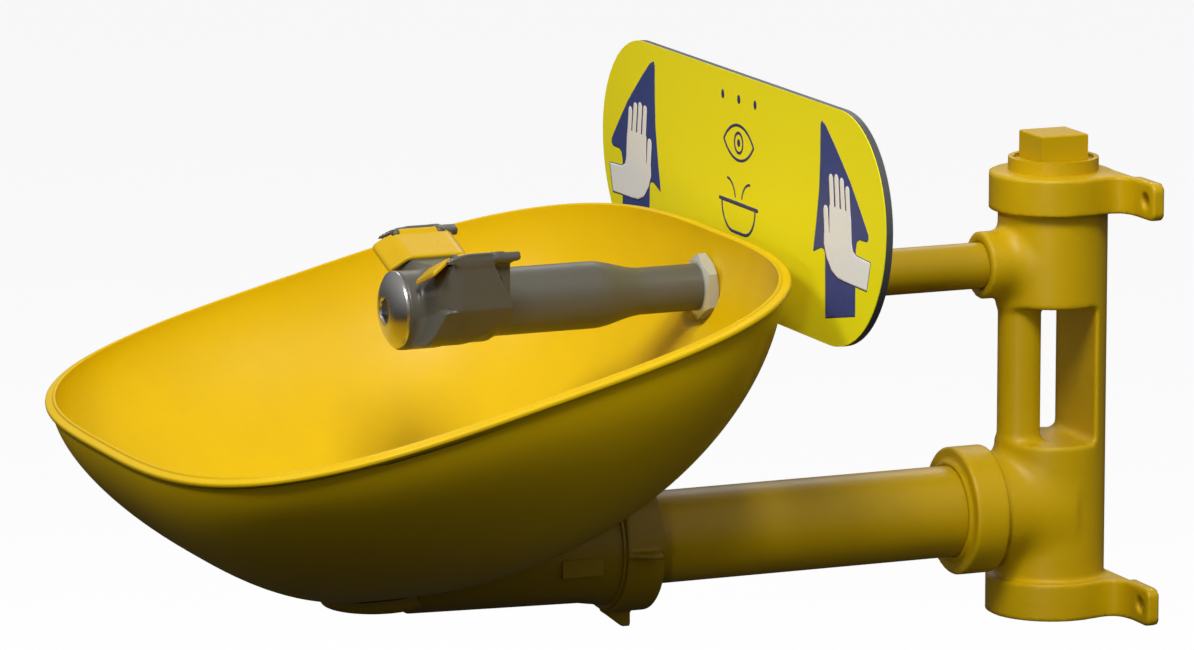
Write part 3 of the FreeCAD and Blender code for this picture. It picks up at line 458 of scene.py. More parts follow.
def floor_height(x, y, grow):
    """Height of the bowl's form over a place near its bottom: the depth is found by halving."""
    low, high = np.full(x.shape, 0.3), np.full(x.shape, 0.99999)
    for _ in range(40):
        middle = (low + high) / 2
        a, b, cy, _, tilt = section(middle, grow)
        outside = (np.abs(x) / a) ** POWER + (np.abs(y - cy) / (b * np.cos(tilt))) ** POWER > 1
        low, high = np.where(outside, low, middle), np.where(outside, middle, high)
    _, _, cy, cz, tilt = section(low, grow)
    return cz + (y - cy) * np.tan(tilt)


print("half width at mid-depth:", round(float(section(0.5, 0.0)[0]), 1), "mm")

# %% [markdown]
# The mesh runs from the drain hole up the inside, over the rim and down the outside to the
# drain hole again, so it's one closed skin with a real wall. The rim is a short profile: a thin
# lip, a step and a rolled bead. Around the spray tube both sides are flattened to a round
# pad, so that the nut has a seat.

# %% The rows of the bowl
SUPPLY_Z = 61.4
PAD_Y, PAD_BACK_Y, PAD_R = -203.4, -200.8, 18.0
DRAIN_Y, DRAIN_R, SEAT_R, SEAT_Z = -367.0, 18.0, 23.0, -62.6
BACK_HALF_Y = -300
RIM_PROFILE = np.array([(-2.15, 0.0), (-2.1, 0.3), (-1.9, 0.5), (-1.2, 0.5), (-0.95, 0.35), (-0.88, -0.3),
                        (-0.7, -0.5), (0.2, -0.5), (1.4, -0.5), (2.1, -0.62), (2.5, -0.95), (2.7, -1.5),
                        (2.7, -2.3), (2.5, -2.85), (2.1, -3.2), (1.4, -3.3), (0.7, -3.35), (0.2, -3.6),
                        (-0.2, -4.2), (-0.5, -5.3)])


def ease(t):
    """0 below 0, 1 above 1, and 3t^2 - 2t^3 between."""
    t = np.clip(t, 0, 1)
    return t * t * (3 - 2 * t)


def drain_rows(ring_x, ring_y):
    """Rings of the drain's stepped seat, from the hole's edge to the inside floor."""
    rings = [(DRAIN_R, SEAT_Z - 0.3), (DRAIN_R + 0.3, SEAT_Z), (SEAT_R - 0.3, SEAT_Z),
             (SEAT_R, SEAT_Z + 0.05), (SEAT_R + 0.05, 0.0)]
    return [np.stack([r * ring_x, DRAIN_Y + r * ring_y, np.full(ring_x.size, z)], -1)[None] for r, z in rings]


def floor_rows(start, grow, radius, ring_x, ring_y):
    """Rows that run from the lowest wall row to a circle round the drain."""
    rows = []
    for share in np.linspace(0, 1, 13)[1:]:
        x = start[:, 0] * (1 - share) + radius * ring_x * share
        y = start[:, 1] * (1 - share) + (DRAIN_Y + radius * ring_y) * share
        rows.append(np.stack([x, y, floor_height(x, y, grow)], -1))
    return np.array(rows)


def rim_rows(ux, uy):
    """The rim profile, carried round the outline in the tilted rim plane."""
    u, n = RIM_PROFILE[:, :1], RIM_PROFILE[:, 1:]
    along = (HALF_L + u) * uy
    return np.stack([(HALF_W + u) * ux, RIM_Y + along * math.cos(RIM_TILT) - n * math.sin(RIM_TILT),
                     RIM_Z + along * math.sin(RIM_TILT) + n * math.cos(RIM_TILT)], -1)


def pad_share(rows, inner, outer):
    """0 within the inner radius of the tube's axis, 1 past the outer one, on the bowl's back wall."""
    away = np.hypot(rows[..., 0], rows[..., 2] - SUPPLY_Z)
    near = (away < 30) & (rows[..., 1] > BACK_HALF_Y)
    return np.where(near, ease((away - inner) / (outer - inner)), 1)


def bowl_points(columns):
    """All rows of the skin, the numbers of the first wall rows inside and outside, and how many there are."""
    ux, uy = unit_outline(columns)
    depths = np.concatenate([np.linspace(0.05, 0.36, 40), np.linspace(0.36, 0.92, 34)[1:]])
    turn = np.arctan2(uy * HALF_L, ux * HALF_W)
    ring_x, ring_y = np.cos(turn), np.sin(turn)
    inside = wall_rows(depths[::-1], -WALL, ux, uy)
    inside_top = wall_rows(np.linspace(0.045, 0.004, 8), -WALL, ux, uy)
    outside = wall_rows(depths, 0.0, ux, uy)
    inside_floor = floor_rows(inside[0], -WALL, SEAT_R + 0.3, ring_x, ring_y)[::-1]
    outside_floor = floor_rows(outside[-1], 0.0, DRAIN_R, ring_x, ring_y)
    seat = drain_rows(ring_x, ring_y)
    seat[-1][0, :, 2] = np.minimum(inside_floor[0, :, 2], SEAT_Z + 0.4)

    share = pad_share(inside, PAD_R - 1.0, PAD_R + 0.6)
    inside[..., 1] = inside[..., 1] * share + np.maximum(inside[..., 1], PAD_Y) * (1 - share)
    boss = pad_share(outside, PAD_R + WALL - 1.0, PAD_R + WALL + 1.0)
    flat = pad_share(outside, PAD_R - 1.0, PAD_R)
    outside[..., 1] = outside[..., 1] * boss + np.maximum(outside[..., 1], PAD_BACK_Y) * (1 - boss)
    outside[..., 1] = outside[..., 1] * flat + PAD_BACK_Y * (1 - flat)
    rim = rim_rows(ux, uy)
    first_inside = len(seat) + len(inside_floor)
    first_outside = first_inside + len(inside) + len(inside_top) + len(rim)
    rows = np.concatenate(seat + [inside_floor, inside, inside_top, rim, outside, outside_floor])
    return rows, first_inside, first_outside, len(depths)


print("rim profile:", len(RIM_PROFILE), "points")

# %% [markdown]
# The tube passes through the back wall. Its hole is cut in the grid: the faces inside a circle
# are left out on both sides, the points around the gap are moved onto the circle, and a strip
# of faces joins the two edges. That keeps the skin closed without a boolean cut.

# %% The bowl's mesh
TUBE_HOLE_R = 10.85
COLUMNS = 396


def ring_faces(rows, columns):
    """Faces of a grid of points whose rows and columns both run all the way round."""
    i, j = np.meshgrid(np.arange(rows), np.arange(columns), indexing="ij")
    down, right = (i + 1) % rows, (j + 1) % columns
    quads = np.stack([i * columns + j, down * columns + j, down * columns + right, i * columns + right], -1)
    return quads.reshape(-1, 4)


def hole_edges(holed):
    """Places of the two ends of each grid edge between a face that is left out and one that stays."""
    right = np.roll(holed, -1, axis=1)
    below = np.concatenate([holed[1:], np.zeros((1, COLUMNS), bool)])
    k, j = np.nonzero(holed != right)
    upright = [(k, (j + 1) % COLUMNS), (k + 1, (j + 1) % COLUMNS)]
    k, j = np.nonzero(holed != below)
    level = [(k + 1, j), (k + 1, (j + 1) % COLUMNS)]
    starts = tuple(np.concatenate(v) for v in zip(upright[0], level[0]))
    ends = tuple(np.concatenate(v) for v in zip(upright[1], level[1]))
    return starts, ends


def build_bowl():
    """Points and faces of the closed skin, with the tube's hole."""
    points, first_in, first_out, count = bowl_points(COLUMNS)
    rows = len(points)
    number = np.arange(rows * COLUMNS).reshape(rows, COLUMNS)
    inner = number[first_in:first_in + count][::-1]
    outer = number[first_out:first_out + count]
    flat = points.reshape(-1, 3)
    middle = (flat[inner][:-1] + flat[inner][1:]) / 2
    middle = (middle + np.roll(middle, -1, axis=1)) / 2
    off_axis = np.hypot(middle[..., 0], middle[..., 2] - SUPPLY_Z)
    holed = (off_axis < TUBE_HOLE_R) & (middle[..., 1] > BACK_HALF_Y)
    starts, ends = hole_edges(holed)

    around = np.unique(np.concatenate([inner[starts], inner[ends], outer[starts], outer[ends]]))
    spoke = flat[around] - (0, 0, SUPPLY_Z)
    size = np.hypot(spoke[:, 0], spoke[:, 2])[:, None]
    flat[around] = spoke / size * (TUBE_HOLE_R, 0, TUBE_HOLE_R) + (0, 0, SUPPLY_Z)
    flat[around, 1] = spoke[:, 1]

    keep = np.ones((rows, COLUMNS), bool)
    keep[first_in:first_in + count - 1] = ~holed[::-1]
    keep[first_out:first_out + count - 1] = ~holed
    bridge = np.stack([inner[starts], inner[ends], outer[ends], outer[starts]], -1)
    corners = flat[bridge]
    normal = np.cross(corners[:, 2] - corners[:, 0], corners[:, 3] - corners[:, 1])
    inward = np.array([0, 0, SUPPLY_Z]) - corners.mean(1)
    turned = (normal[:, [0, 2]] * inward[:, [0, 2]]).sum(1) < 0
    bridge[turned] = bridge[turned][:, ::-1]
    faces = np.concatenate([ring_faces(rows, COLUMNS)[keep.ravel()], bridge])
    used = np.unique(faces)
    renumber = np.zeros(len(flat), int)
    renumber[used] = np.arange(used.size)
    return flat[used], renumber[faces]


make_piece("bowl_skin", *build_bowl(), "station", "bowl_yellow", FINISH["bowl_yellow"], ["bowl"])

# %% [markdown]
# ## The bracket casting
# The casting is a tube that opens out into a window. In the window the metal splits into a
# round column in front and a flat web behind. The bosses for the two pipes and the collars
# with their wall ears are joined on through cast fillets. Boolean modifiers would leave hard
# seams there, so the fields do the joining. The bores are cut with sharp edges.

# %% The casting's outside
WASTE_Z = -52.9
CAST_Y, HALF_H, TUBE_R = -30.0, 103.6, 25.4
WINDOW_LOW, WINDOW_TOP, WEB_FRONT_Y = -22.0, 42.0, -17.7
COLUMN_Y, COLUMN_R, COLUMN_BACK_Y = -46.0, 10.5, -38.9
SUPPLY_BOSS_R, SUPPLY_BOSS_Y = 15.5, -67.4
WASTE_BOSS_R, WASTE_BOSS_Y, WASTE_LIP_R = 24.8, -79.0, 23.4
COLLAR_R, COLLAR_H = 29.6, 18.0
EAR_HALF_W, EAR_T, EAR_CORNER = 55.0, 5.9, 5.0


def bracket_body(x, y, z):
    """Tube less the window, plus the column, joined to the pipe bosses with eased unions."""
    around = np.hypot(x, y - CAST_Y)
    supply = np.hypot(x, z - SUPPLY_Z)
    waste = np.hypot(x, z - WASTE_Z)
    tube = field_rod(around, z, TUBE_R, -HALF_H, HALF_H, 1.0)
    window = field_block(x, y, z, (-60, -90, WINDOW_LOW), (60, WEB_FRONT_Y, WINDOW_TOP), 3.5)
    tube = cut_away(tube, window, 2.0)
    column = field_rod(np.hypot(x, y - COLUMN_Y), z, COLUMN_R, WINDOW_LOW - 9, WINDOW_TOP + 9)
    column = both(column, y - COLUMN_BACK_Y, 0.5)
    body = joined(tube, column, 4.5)
    body = joined(body, field_rod(supply, y, SUPPLY_BOSS_R, SUPPLY_BOSS_Y, CAST_Y, 0.8), 6)
    body = joined(body, field_rod(waste, y, WASTE_BOSS_R, WASTE_BOSS_Y, CAST_Y), 6)
    body = joined(body, field_rod(waste, y, COLLAR_R, WASTE_BOSS_Y - 1.5, -64.1, 0.9), 2)
    return joined(body, field_rod(waste, y, WASTE_LIP_R, WASTE_BOSS_Y - 3.0, -78, 0.5), 0.8)


def collar(x, y, z, low):
    """Round collar whose plan runs out into two wall ears with rounded corners."""
    plate = field_block(x, y, 0 * x, (-EAR_HALF_W, -EAR_T, -50), (EAR_HALF_W, 0, 50), 0.8)
    plan = joined(np.hypot(x, y - CAST_Y) - COLLAR_R, plate, 18)
    corner = field_block(x, z, 0 * x, (-EAR_HALF_W, low, -50), (EAR_HALF_W, low + COLLAR_H, 50), EAR_CORNER)
    form = both(both(plan, np.abs(z - low - COLLAR_H / 2) - COLLAR_H / 2, 1.0), corner, 1.0)
    return both(form, y, 0.6)


print("casting", 2 * HALF_H, "mm high, window", WINDOW_TOP - WINDOW_LOW, "mm")

# %% [markdown]
# What is bored or cast hollow is taken away at the end. The two chambers are cored from the top
# and the foot and stop short of the window, so the column and the web stay solid.

# %% The casting's bores and skin
CHAMBER_R, OUTLET_R, OUTLET_L = 19.0, 20.2, 20.0
SUPPLY_SOCKET_R, INLET_R, SPOT_R, SPOT_Y = 10.7, 9.6, 13.0, -7.2
WASTE_SOCKET_R, WASTE_SOCKET_END = 21.15, -44
BOLT_X, BOLT_Z, BOLT_R = 46, 94.5, 3.4


def casting(x, y, z):
    """The outside with its collars, less the chambers, ports, wall relief and bolt holes."""
    around = np.hypot(x, y - CAST_Y)
    supply = np.hypot(x, z - SUPPLY_Z)
    waste = np.hypot(x, z - WASTE_Z)
    body = bracket_body(x, y, z)
    for low in (-HALF_H, HALF_H - COLLAR_H):
        body = joined(body, collar(x, y, z, low), 2)
        relief = field_block(x, y, z, (-30, -3, low - 2), (30, 2, low + COLLAR_H + 2))
        body = cut_away(body, relief, 0.8)
    chambers = np.minimum(field_rod(around, z, CHAMBER_R, WINDOW_TOP + 5, HALF_H + 9),
                          field_rod(around, z, CHAMBER_R, -HALF_H - 9, WINDOW_LOW - 5))
    ports = [chambers,
             field_rod(around, z, OUTLET_R, -HALF_H - 9, OUTLET_L - HALF_H),
             field_rod(supply, y, SUPPLY_SOCKET_R, -90, CAST_Y),
             field_rod(supply, y, INLET_R, CAST_Y, 9),
             field_rod(supply, y, SPOT_R, SPOT_Y, 9),
             field_rod(waste, y, WASTE_SOCKET_R, -95, WASTE_SOCKET_END)]
    for port in ports:
        body = cut_away(body, port)
    bolt = np.hypot(np.abs(x) - BOLT_X, np.abs(z) - BOLT_Z)
    return cut_away(body, field_rod(bolt, y, BOLT_R, -12, 6))


casting_mesh = skin(casting, (-56, -83, -104.5), (56, 1, 104.5), 1.3)
make_piece("bracket_casting_skin", *casting_mesh, "station", "yellow_casting", FINISH["yellow_casting"],
           ["bracket_casting"])

# %% [markdown]
# ## The spray head
# One moulding runs from the neck in the bowl's wall through a smooth swell to the head. Two
# wings stand out from the head. Their tops slope up and outwards, and each holds a nozzle
# pocket under its dust cover. The wing's upper part rounds softly into the barrel in front.
# Its lower part slants in and keeps a crisp edge. In a field, soft and crisp edges can meet in
# one form, which bevels on a mesh do badly.

# %% The barrel and the wings
SLOPE = math.atan2(9.0, 25.0)
SLOPE_X, SLOPE_H = 14.0, 18.5
BEVEL_Y, BEVEL_TILT = -343.2, math.atan2(8.55, 12.0)
NECK_R, BARREL_R, HEAD_R = 10.65, 15.2, 17.2
BARREL_MID_Y, BARREL_HALF_L = -266.1, 89.1
WING_OUT_X, WING_BACK_Y, CREASE_H = 39.0, -314.5, 4.5


def on_slope(x, z):
    """Distance up the right wing's sloping top and height above it."""
    dx, dz = np.abs(x) - SLOPE_X, z - SUPPLY_Z - SLOPE_H
    return dx * math.cos(SLOPE) + dz * math.sin(SLOPE), dz * math.cos(SLOPE) - dx * math.sin(SLOPE)


def front_bevel(y, w):
    """Distance to the plane that bevels the front of the wing's top and of its cover."""
    return w * math.cos(BEVEL_TILT) - (y - BEVEL_Y) * math.sin(BEVEL_TILT)


def barrel(across, y):
    """Round bar whose radius eases from the neck to the barrel and from the barrel to the head."""
    radius = NECK_R + (BARREL_R - NECK_R) * ease((-237 - y) / 25) + (HEAD_R - BARREL_R) * ease((-309 - y) / 6)
    return both(across - radius, np.abs(y - BARREL_MID_Y) - BARREL_HALF_L, 0.6)


def wing(x, y, z):
    """Upper and lower part, each bounded by planes; the lower one starts under the crease.

    The distance to a slanting plane is the step from a point on it, times its unit normal."""
    _, w = on_slope(x, z)
    ax, h = np.abs(x), z - SUPPLY_Z
    top = both(joined(h - 18.3, w, 4), front_bevel(y, w), 0.4)
    slant = (ax - WING_OUT_X) * 0.889 - (h - CREASE_H) * 0.459
    under = (ax - 31.0) * 0.181 - (h + 12.0) * 0.983
    back = both(y - WING_BACK_Y, (y + 313.5) * 0.507 - (h + 2.0) * 0.863, 1.0)
    upper = both(both(top, ax - WING_OUT_X, 1.2), slant, 0.3)
    upper = both(upper, both(under, -350.5 - y + 0.14 * ax, 3), 9)
    lower_front = (-346.0 - y - 0.35 * (CREASE_H - h)) * 0.944
    lower = both(both(both(slant + 0.35, under, 5), h - CREASE_H), lower_front, 1.0)
    return both(joined(upper, lower), back, 1.0)


print("wing tops slope up at", round(math.degrees(SLOPE), 1), "degrees")

# %% [markdown]
# The wing's outer edge rises in a ridge that follows the cover's bent top, ends in a lip behind
# and carries the two lugs of the cover's hinge pin. The pocket, the water way and the bores of
# the barrel are cut last, so that no fillet runs into them.

# %% The spray body's skin
PIN_U, PIN_W = 23.2, 1.2
LUG_STARTS, LUG_L = (-342.8, -321.7), 2.5
WATER_X, WATER_H, NOZZLE_Y = 28.3, 11.97, -330
UNIT_X, UNIT_H = 0.921, 0.3895


def spray_head(x, y, z):
    """Barrel, wings, ridges, lips and lugs, joined; then the notch, pockets and bores are taken away."""
    across = np.hypot(x, z - SUPPLY_Z)
    u, w = on_slope(x, z)
    ax, h = np.abs(x), z - SUPPLY_Z
    body = joined(barrel(across, y), wing(x, y, z), 4)
    ridge = both(both(25.4 - u, ax - WING_OUT_X, 0.6), both(w - 2.8, front_bevel(y, w) - 2.6, 6), 0.8)
    ridge = both(ridge, both(-351.5 - y, both(y + 319, -3.0 - w, 1.0), 2), 1.0)
    body = joined(body, ridge, 1.2)
    lip = field_block(u, w, y, (22.5, -1.5, -324), (27.6, 2.4, -311.2), 1.1)
    body = joined(body, lip, 1.0)
    behind = -(y - WING_BACK_Y) * 0.912 - (h - CREASE_H) * 0.41
    body = cut_away(body, both(both(behind, 35.5 - ax), w + 2.2, 1.0), 0.6)
    pin_line = np.hypot(u - PIN_U, w - PIN_W)
    for low in LUG_STARTS:
        body = joined(body, field_rod(pin_line, y, 2.2, low, low + LUG_L, 0.4), 0.8)
    pocket = field_block(u, w, y, (3, -12, -341), (19.5, 6, -319), 0.6)
    knuckle_room = field_rod(pin_line, y, 2.5, -340.3, -321.7)
    way = (ax * WATER_X + h * WATER_H) / math.hypot(WATER_X, WATER_H)
    off_line = np.hypot(ax - way * UNIT_X, h - way * UNIT_H)
    water_way = field_rod(np.hypot(off_line, y - NOZZLE_Y), way, 3.5, 0, 22)
    bores = [pocket, water_way, knuckle_room, field_rod(across, y, 7.5, -347, -170),
             field_rod(across, y, 12.5, -365, -345.2), field_rod(across, y, 14.8, -365, -353.4)]
    for bore in bores:
        body = cut_away(body, bore)
    return body


head_mesh = skin(spray_head, (-41, -356, 42), (41, -176, 92), 0.8)
make_piece("spray_body_skin", *head_mesh, "station", "grey_moulding", FINISH["grey_moulding"], ["spray_body"])

# %% [markdown]
# ## The dust covers
# Each cover is a thin plate that bends down in front. It lies on the wing's top and turns on a
# pin at its outer edge, where the water pushes it open. Its form is the space between the
# wing's two planes and the same planes lifted by the plate's thickness.

# %% The dust covers
COVER_T, KNUCKLE_R, PIN_HOLE_R = 2.2, 2.2, 1.06
COVER_MID_U, COVER_HALF_U = 11.75, 11.45
COVER_MID_Y, COVER_HALF_Y = -333.0, 19.2


def cover_field(side):
    """Field of the right cover (side 1) or the left one (side -1)."""
    def field(x, y, z):
        """The bent plate, less room for the lugs, plus the knuckle with the pin's hole."""
        u, w = on_slope(x * side, z)
        lift = w - 0.3
        height = both(lift, front_bevel(y, lift), 1.4)
        plate = both(height - COVER_T, -height, 0.5)
        plate = both(plate, np.abs(u - COVER_MID_U) - COVER_HALF_U, 1.0)
        plate = both(plate, np.abs(y - COVER_MID_Y) - COVER_HALF_Y, 1.2)
        rear = (y + 318.0) * 0.5 + (lift - COVER_T) * 0.866
        plate = both(plate, rear, 0.8)
        pin_line = np.hypot(u - PIN_U, w - PIN_W)
        for low, top in ((-344.0, -340.0), (-322.0, -318.1)):
            plate = cut_away(plate, field_rod(pin_line, y, 2.5, low, top))
        plate = joined(plate, field_rod(pin_line, y, KNUCKLE_R, -340.0, -322.0, 0.3), 0.8)
        plate = cut_away(plate, field_rod(pin_line, y, PIN_HOLE_R, -350, -310))
        return np.maximum(plate, 13.5 - x * side)
    return field


for side, name in ((1, "right"), (-1, "left")):
    near_x, far_x = sorted((13.6 * side, 38.5 * side))
    cover_mesh = skin(cover_field(side), (near_x, -353, 76), (far_x, -312, 94), 0.5)
    make_piece("dust_cover_" + name + "_skin", *cover_mesh, "cover_" + name, "cover_yellow",
               FINISH["cover_yellow"], ["dust_cover_" + name])

# %% [markdown]
# ## The slip nut
# The slip nut squeezes a washer between the drain housing and the waste pipe. It's a moulded
# ring with thin fins, each with a ramp in front, so that it can be turned by hand. The bowl
# leaves no room for a fin on top. One fin is described, and a loop turns it into place.

# %% The slip nut
NUT_R, NUT_FRONT_Y, NUT_BACK_Y = 32.2, -256.0, -237.6
FIN_OUT_R, FIN_HALF_T, FIN_BACK_Y = 40, 1.4, -242
THREAD_R, NUT_HOLE_R = 28.7, 21.4


def slip_nut(x, y, z):
    """A ring with eased edges and three fins, each cut by a sloping plane in front."""
    across = np.hypot(x, z - WASTE_Z)
    ring = field_rod(across, y, NUT_R, NUT_FRONT_Y, NUT_BACK_Y, 1.3)
    for angle in (-90, 0, 180):
        c, s = math.cos(math.radians(angle)), math.sin(math.radians(angle))
        out = x * c + (z - WASTE_Z) * s
        side = -x * s + (z - WASTE_Z) * c
        low, top = (28, -FIN_HALF_T, NUT_FRONT_Y), (FIN_OUT_R, FIN_HALF_T, FIN_BACK_Y)
        fin = field_block(out, side, y, low, top, 0.4)
        ramp = (out - NUT_R) * 0.789 - (y - NUT_FRONT_Y) * 0.615
        ring = joined(ring, both(fin, ramp, 0.6), 1.5)
    ring = cut_away(ring, field_rod(across, y, THREAD_R, -260, -242.0))
    return cut_away(ring, field_rod(across, y, NUT_HOLE_R, -260, -230))


nut_mesh = skin(slip_nut, (-41, -257, -94), (41, -237, -19), 1.0)
make_piece("slip_nut_skin", *nut_mesh, "station", "yellow_moulding", FINISH["yellow_moulding"], ["slip_nut"])

# %% [markdown]
# ## The print on the push panel
# The panel's face shows two arrows and two hands, and a small drawing of an eye over a basin
# in the middle. An image would do, but a sheet stays sharp at any distance. So each colour is
# a thin sheet, skinned from a flat outline field in the same way as the castings. The sheets
# are a few hundredths of a millimetre proud of the face.

# %% Thin sheets
FACE_Y = -188.5
MIRROR_X = -3.5


def sheet(name, outline, low, top, lift, material, step=0.6):
    """Thin sheet in the panel's plane; it's skinned 3 mm thick and then squeezed to its real thickness."""
    def field(x, y, z):
        """The outline, 1.5 mm thick on each side of y = 0."""
        return np.maximum(outline(x, z), np.abs(y) - 1.5)
    points, faces = skin(field, (low[0], -1.6, low[1]), (top[0], 1.6, top[1]), step)
    points[:, 1] = FACE_Y - lift / 2 + points[:, 1] * lift / 3.0
    make_piece(name, points, faces, "push_handle", "label_yellow", material)


def capsule(x, z, a, b, radius):
    """Distance to the line from a to b, less a radius."""
    ex, ez = b[0] - a[0], b[1] - a[1]
    along = np.clip(((x - a[0]) * ex + (z - a[1]) * ez) / (ex * ex + ez * ez), 0, 1)
    return np.hypot(x - a[0] - along * ex, z - a[1] - along * ez) - radius


print("the panel's face is at y =", FACE_Y, "mm")

# %% [markdown]
# The arrow and the palm are outlines of a few listed corners, and each finger is a line
# with a radius around it.

# %% Arrows and hands
ARROW = [(-97.5, 149.4), (-101.5, 148.0), (-111.3, 140.6), (-127.5, 127.0), (-138.8, 115.2), (-146.6, 106.6),
         (-147.2, 104.4), (-145.2, 103.1), (-138.0, 103.0), (-135.2, 101.6), (-133.8, 98.0), (-133.6, 68.0),
         (-102.6, 62.0), (-102.0, 91.0), (-100.6, 92.8), (-97.5, 93.0), (-89.2, 90.0), (-92.5, 103.9),
         (-95.4, 119.0), (-96.3, 133.0), (-96.5, 147.8)]
PALM = [(-149.4, 94.3), (-134.5, 95.0), (-131.2, 96.6), (-129.8, 100.0), (-129.0, 110.0), (-128.2, 113.2),
        (-105.9, 113.2), (-106.3, 100.4), (-103.4, 99.0), (-100.6, 100.0), (-100.4, 95.2), (-103.4, 89.4),
        (-108.8, 84.2), (-116.0, 81.8), (-145.6, 81.2)]
FINGERS = [((-126.8, 108.0), (-124.9, 122.4), 2.15), ((-121.0, 110.0), (-119.0, 125.2), 2.15),
           ((-115.1, 110.0), (-113.3, 125.9), 2.2), ((-109.2, 110.0), (-107.6, 125.2), 2.2),
           ((-103.6, 98.0), (-102.2, 110.2), 2.45)]


def arrow_outline(x, z):
    """The arrow's corners, eased by a small radius."""
    return field_outline(x, z, ARROW) - 0.3


def hand_outline(x, z):
    """The palm with the five fingers joined on."""
    hand = field_outline(x, z, PALM)
    for a, b, radius in FINGERS:
        hand = joined(hand, capsule(x, z, a, b, radius), 0.3)
    return hand


PRINT_BLUE = coated("print_blue", (0.044, 0.070, 0.245), (0.040, 0.062, 0.225), 0.38, bump=0.00001)
PRINT_LINE = coated("print_line", (0.030, 0.040, 0.150), (0.028, 0.036, 0.140), 0.38, bump=0.00001)
PRINT_WHITE = coated("print_white", (0.93, 0.91, 0.85), (0.90, 0.88, 0.82), 0.40, bump=0.00001)

for label, flip in (("left", False), ("right", True)):
    for part, outline, grow, lift, material in (
            ("arrow", arrow_outline, 0.0, 0.03, PRINT_BLUE),
            ("hand_line", hand_outline, 0.45, 0.05, PRINT_LINE),
            ("hand", hand_outline, 0.0, 0.07, PRINT_WHITE)):
        def placed(x, z, outline=outline, grow=grow, flip=flip):
            """The outline, grown, and mirrored for the right-hand pair."""
            return outline(2 * MIRROR_X - x if flip else x, z) - grow
        low, top = (-151.0, 60.0), (-87.0, 151.0)
        if flip:
            low, top = (2 * MIRROR_X - top[0], low[1]), (2 * MIRROR_X - low[0], top[1])
        sheet("print_" + part + "_" + label, placed, low, top, lift, material)

# %% [markdown]
# The small drawing says what the station is for: water rises from a basin to an eye. It's made
# of circles and lines with a band around each, and so it needs no traced shape.

# %% The drawing
EYE_Z, BASIN_RIM_Z, LINE_HALF = 126.0, 98.0, 0.7


def eye_drawing(x, z):
    """Bands around simple curves: |distance to the curve| less half the line's width."""
    lids = np.maximum(np.hypot(x, z - EYE_Z + 13) - 21.0, np.hypot(x, z - EYE_Z - 13) - 21.0)
    basin = np.abs(field_block(x, z, 0 * x, (-19, 84, -9), (19, 112, 9), 13)) - LINE_HALF
    jets = np.abs(np.hypot(np.abs(x) - 13.0, z - 99.0) - 9.5) - 0.6
    parts = [np.abs(lids) - LINE_HALF,
             np.abs(np.hypot(x, z - EYE_Z) - 4.6) - LINE_HALF,
             np.hypot(x, z - EYE_Z) - 1.8,
             np.maximum(basin, z - BASIN_RIM_Z),
             capsule(x, z, (-21, BASIN_RIM_Z), (21, BASIN_RIM_Z), 0.9),
             np.maximum(np.maximum(jets, 100.5 - z), np.abs(x) - 13.0),
             np.hypot(np.abs(np.abs(x) - 9.0) - 9.0, (z - 146.0) * 0.8) - 1.7]
    whole = parts[0]
    for part in parts[1:]:
        whole = np.minimum(whole, part)
    return whole


sheet("print_drawing", eye_drawing, (-22.5, 82.5), (22.5, 149.0), 0.03, PRINT_LINE, 0.5)

# %% [markdown]
# ## The camera
# The camera stands at the user's right, a little above the bowl, with a long lens. Its place is
# worked out from the point it aims at, two angles and a distance. The aim is given as steps to
# the camera's right and up from the middle of the casting's foot.

# %% The camera
AZIMUTH, ELEVATION = math.radians(67.143), math.radians(10.609)
DISTANCE, LENS_MM, SENSOR_MM = 3.67535, 238.1, 36.0
AIM_RIGHT, AIM_UP = -0.210153, 0.132042
CASTING_FOOT = Vector((0.0, CAST_Y * MM, -HALF_H * MM))

back = Vector((math.sin(AZIMUTH) * math.cos(ELEVATION), -math.cos(AZIMUTH) * math.cos(ELEVATION),
               math.sin(ELEVATION)))
right = Vector((math.cos(AZIMUTH), math.sin(AZIMUTH), 0))
up = back.cross(right)
aim = right * AIM_RIGHT + up * AIM_UP + CASTING_FOOT
lens = bpy.data.cameras.new("camera")
lens.lens = LENS_MM
lens.sensor_width = SENSOR_MM
lens.clip_end = 50
camera = bpy.data.objects.new("camera", lens)
camera.location = aim + back * DISTANCE
camera.rotation_euler = back.to_track_quat("Z", "Y").to_euler()
bpy.context.collection.objects.link(camera)
bpy.context.scene.camera = camera
print("camera at", [round(c, 3) for c in camera.location])

# %% [markdown]
# ## The lights
# The light is that of a studio. A large soft key stands high on the camera's side, and a second
# soft light in front brings out the panel. A weak one behind draws the upper edges, and a
# narrow beam lifts the bracket out of the panel's shadow.

# %% The lights
def soft_light(name, place, target, size, power, beam=180):
    """Area light that faces its target; beam is the angle in degrees that its light spreads over."""
    lamp = bpy.data.lights.new(name, "AREA")
    lamp.shape, lamp.size, lamp.size_y = "RECTANGLE", size[0], size[1]
    lamp.energy = power
    lamp.spread = math.radians(beam)
    thing = bpy.data.objects.new(name, lamp)
    thing.location = place
    thing.rotation_euler = (Vector(place) - Vector(target)).to_track_quat("Z", "Y").to_euler()
    bpy.context.collection.objects.link(thing)
    print(name, "light of", power, "W")


MIDDLE = (0.0, -0.28, 0.0)
soft_light("key", (1.35, -0.75, 1.95), MIDDLE, (0.7, 0.7), 44)
soft_light("front", (0.4, -2.1, 1.7), (0, -0.15, 0.05), (0.5, 0.5), 20)
soft_light("rim", (-1.4, 0.6, 1.1), MIDDLE, (0.8, 0.8), 3)
soft_light("bracket", (1.45, -1.2, 0.12), (0.0, -0.03, -0.01), (0.25, 0.25), 0.04, beam=9)

# %% [markdown]
# ## The sky
# The surroundings are pale above and dark below, so little light comes up from under the bowl.
# That gives its underside the deep olive that a lit yellow shell has there.

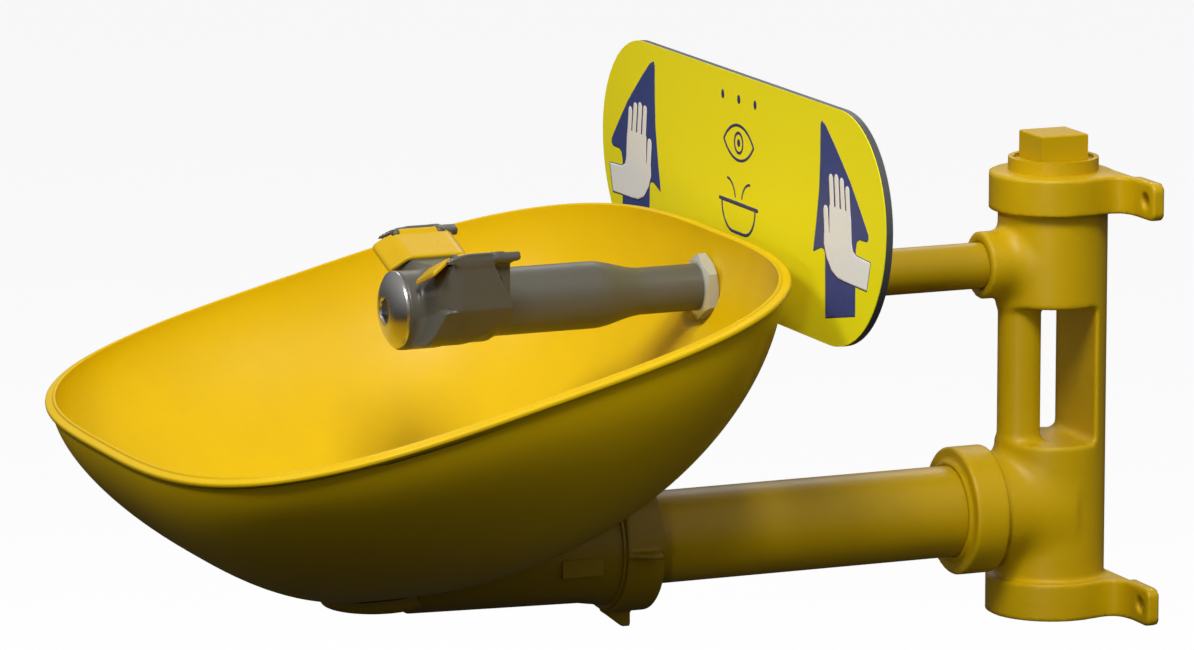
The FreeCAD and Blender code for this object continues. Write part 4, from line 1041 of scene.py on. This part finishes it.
# %% The sky
SKY_DARK, SKY_PALE = 0.02, 0.42


def build_sky():
    """The strength rises from dark to pale as a direction's height goes from -0.25 to 0.50."""
    sky = bpy.data.worlds.new("studio")
    sky.use_nodes = True
    tree = sky.node_tree
    where = tree.nodes.new("ShaderNodeTexCoord").outputs["Generated"]
    parts = tree.nodes.new("ShaderNodeSeparateXYZ")
    tree.links.new(where, parts.inputs[0])
    strength = spread(tree, parts.outputs["Z"], -0.25, 0.50, SKY_DARK, SKY_PALE)
    tree.links.new(strength, tree.nodes["Background"].inputs["Strength"])
    tree.nodes["Background"].inputs["Color"].default_value = (1, 1, 1, 1)
    return sky


bpy.context.scene.world = build_sky()
bpy.context.scene.view_settings.view_transform = "Standard"
print("sky from", SKY_DARK, "below to", SKY_PALE, "above")

# %% [markdown]
# ## The floor
# A plain pale floor closes the view. It lies well below the station, which hangs on a wall.

# %% The floor
FLOOR_Z, FLOOR_HALF = -0.95, 60.0
floor_mesh = bpy.data.meshes.new("floor")
corners = [(-FLOOR_HALF, -FLOOR_HALF, FLOOR_Z), (FLOOR_HALF, -FLOOR_HALF, FLOOR_Z),
           (FLOOR_HALF, FLOOR_HALF, FLOOR_Z), (-FLOOR_HALF, FLOOR_HALF, FLOOR_Z)]
floor_mesh.from_pydata(corners, [], [(0, 1, 2, 3)])
floor = bpy.data.objects.new("floor", floor_mesh)
bpy.context.collection.objects.link(floor)
floor_paint = bpy.data.materials.new("floor_paint")
floor_paint.use_nodes = True
floor_shader = floor_paint.node_tree.nodes["Principled BSDF"]
floor_shader.inputs["Base Color"].default_value = (0.93, 0.93, 0.93, 1)
floor_shader.inputs["Roughness"].default_value = 0.9
floor_shader.inputs["Emission Color"].default_value = (1, 1, 1, 1)
floor_shader.inputs["Emission Strength"].default_value = 0.55
floor_mesh.materials.append(floor_paint)
floor.visible_diffuse = False
floor.visible_glossy = False
print("floor at z =", FLOOR_Z, "m")

# %% [markdown]
# ## Sizes
# The corners of the CAD model's box are written out. Each new surface follows the piece it
# replaces, so the finished model's box should lie within a millimetre or two of it.

# %% Sizes
for corner, name in zip(cad_box, ("lowest", "highest")):
    print("CAD", name, "corner", [round(float(c), 4) for c in corner])
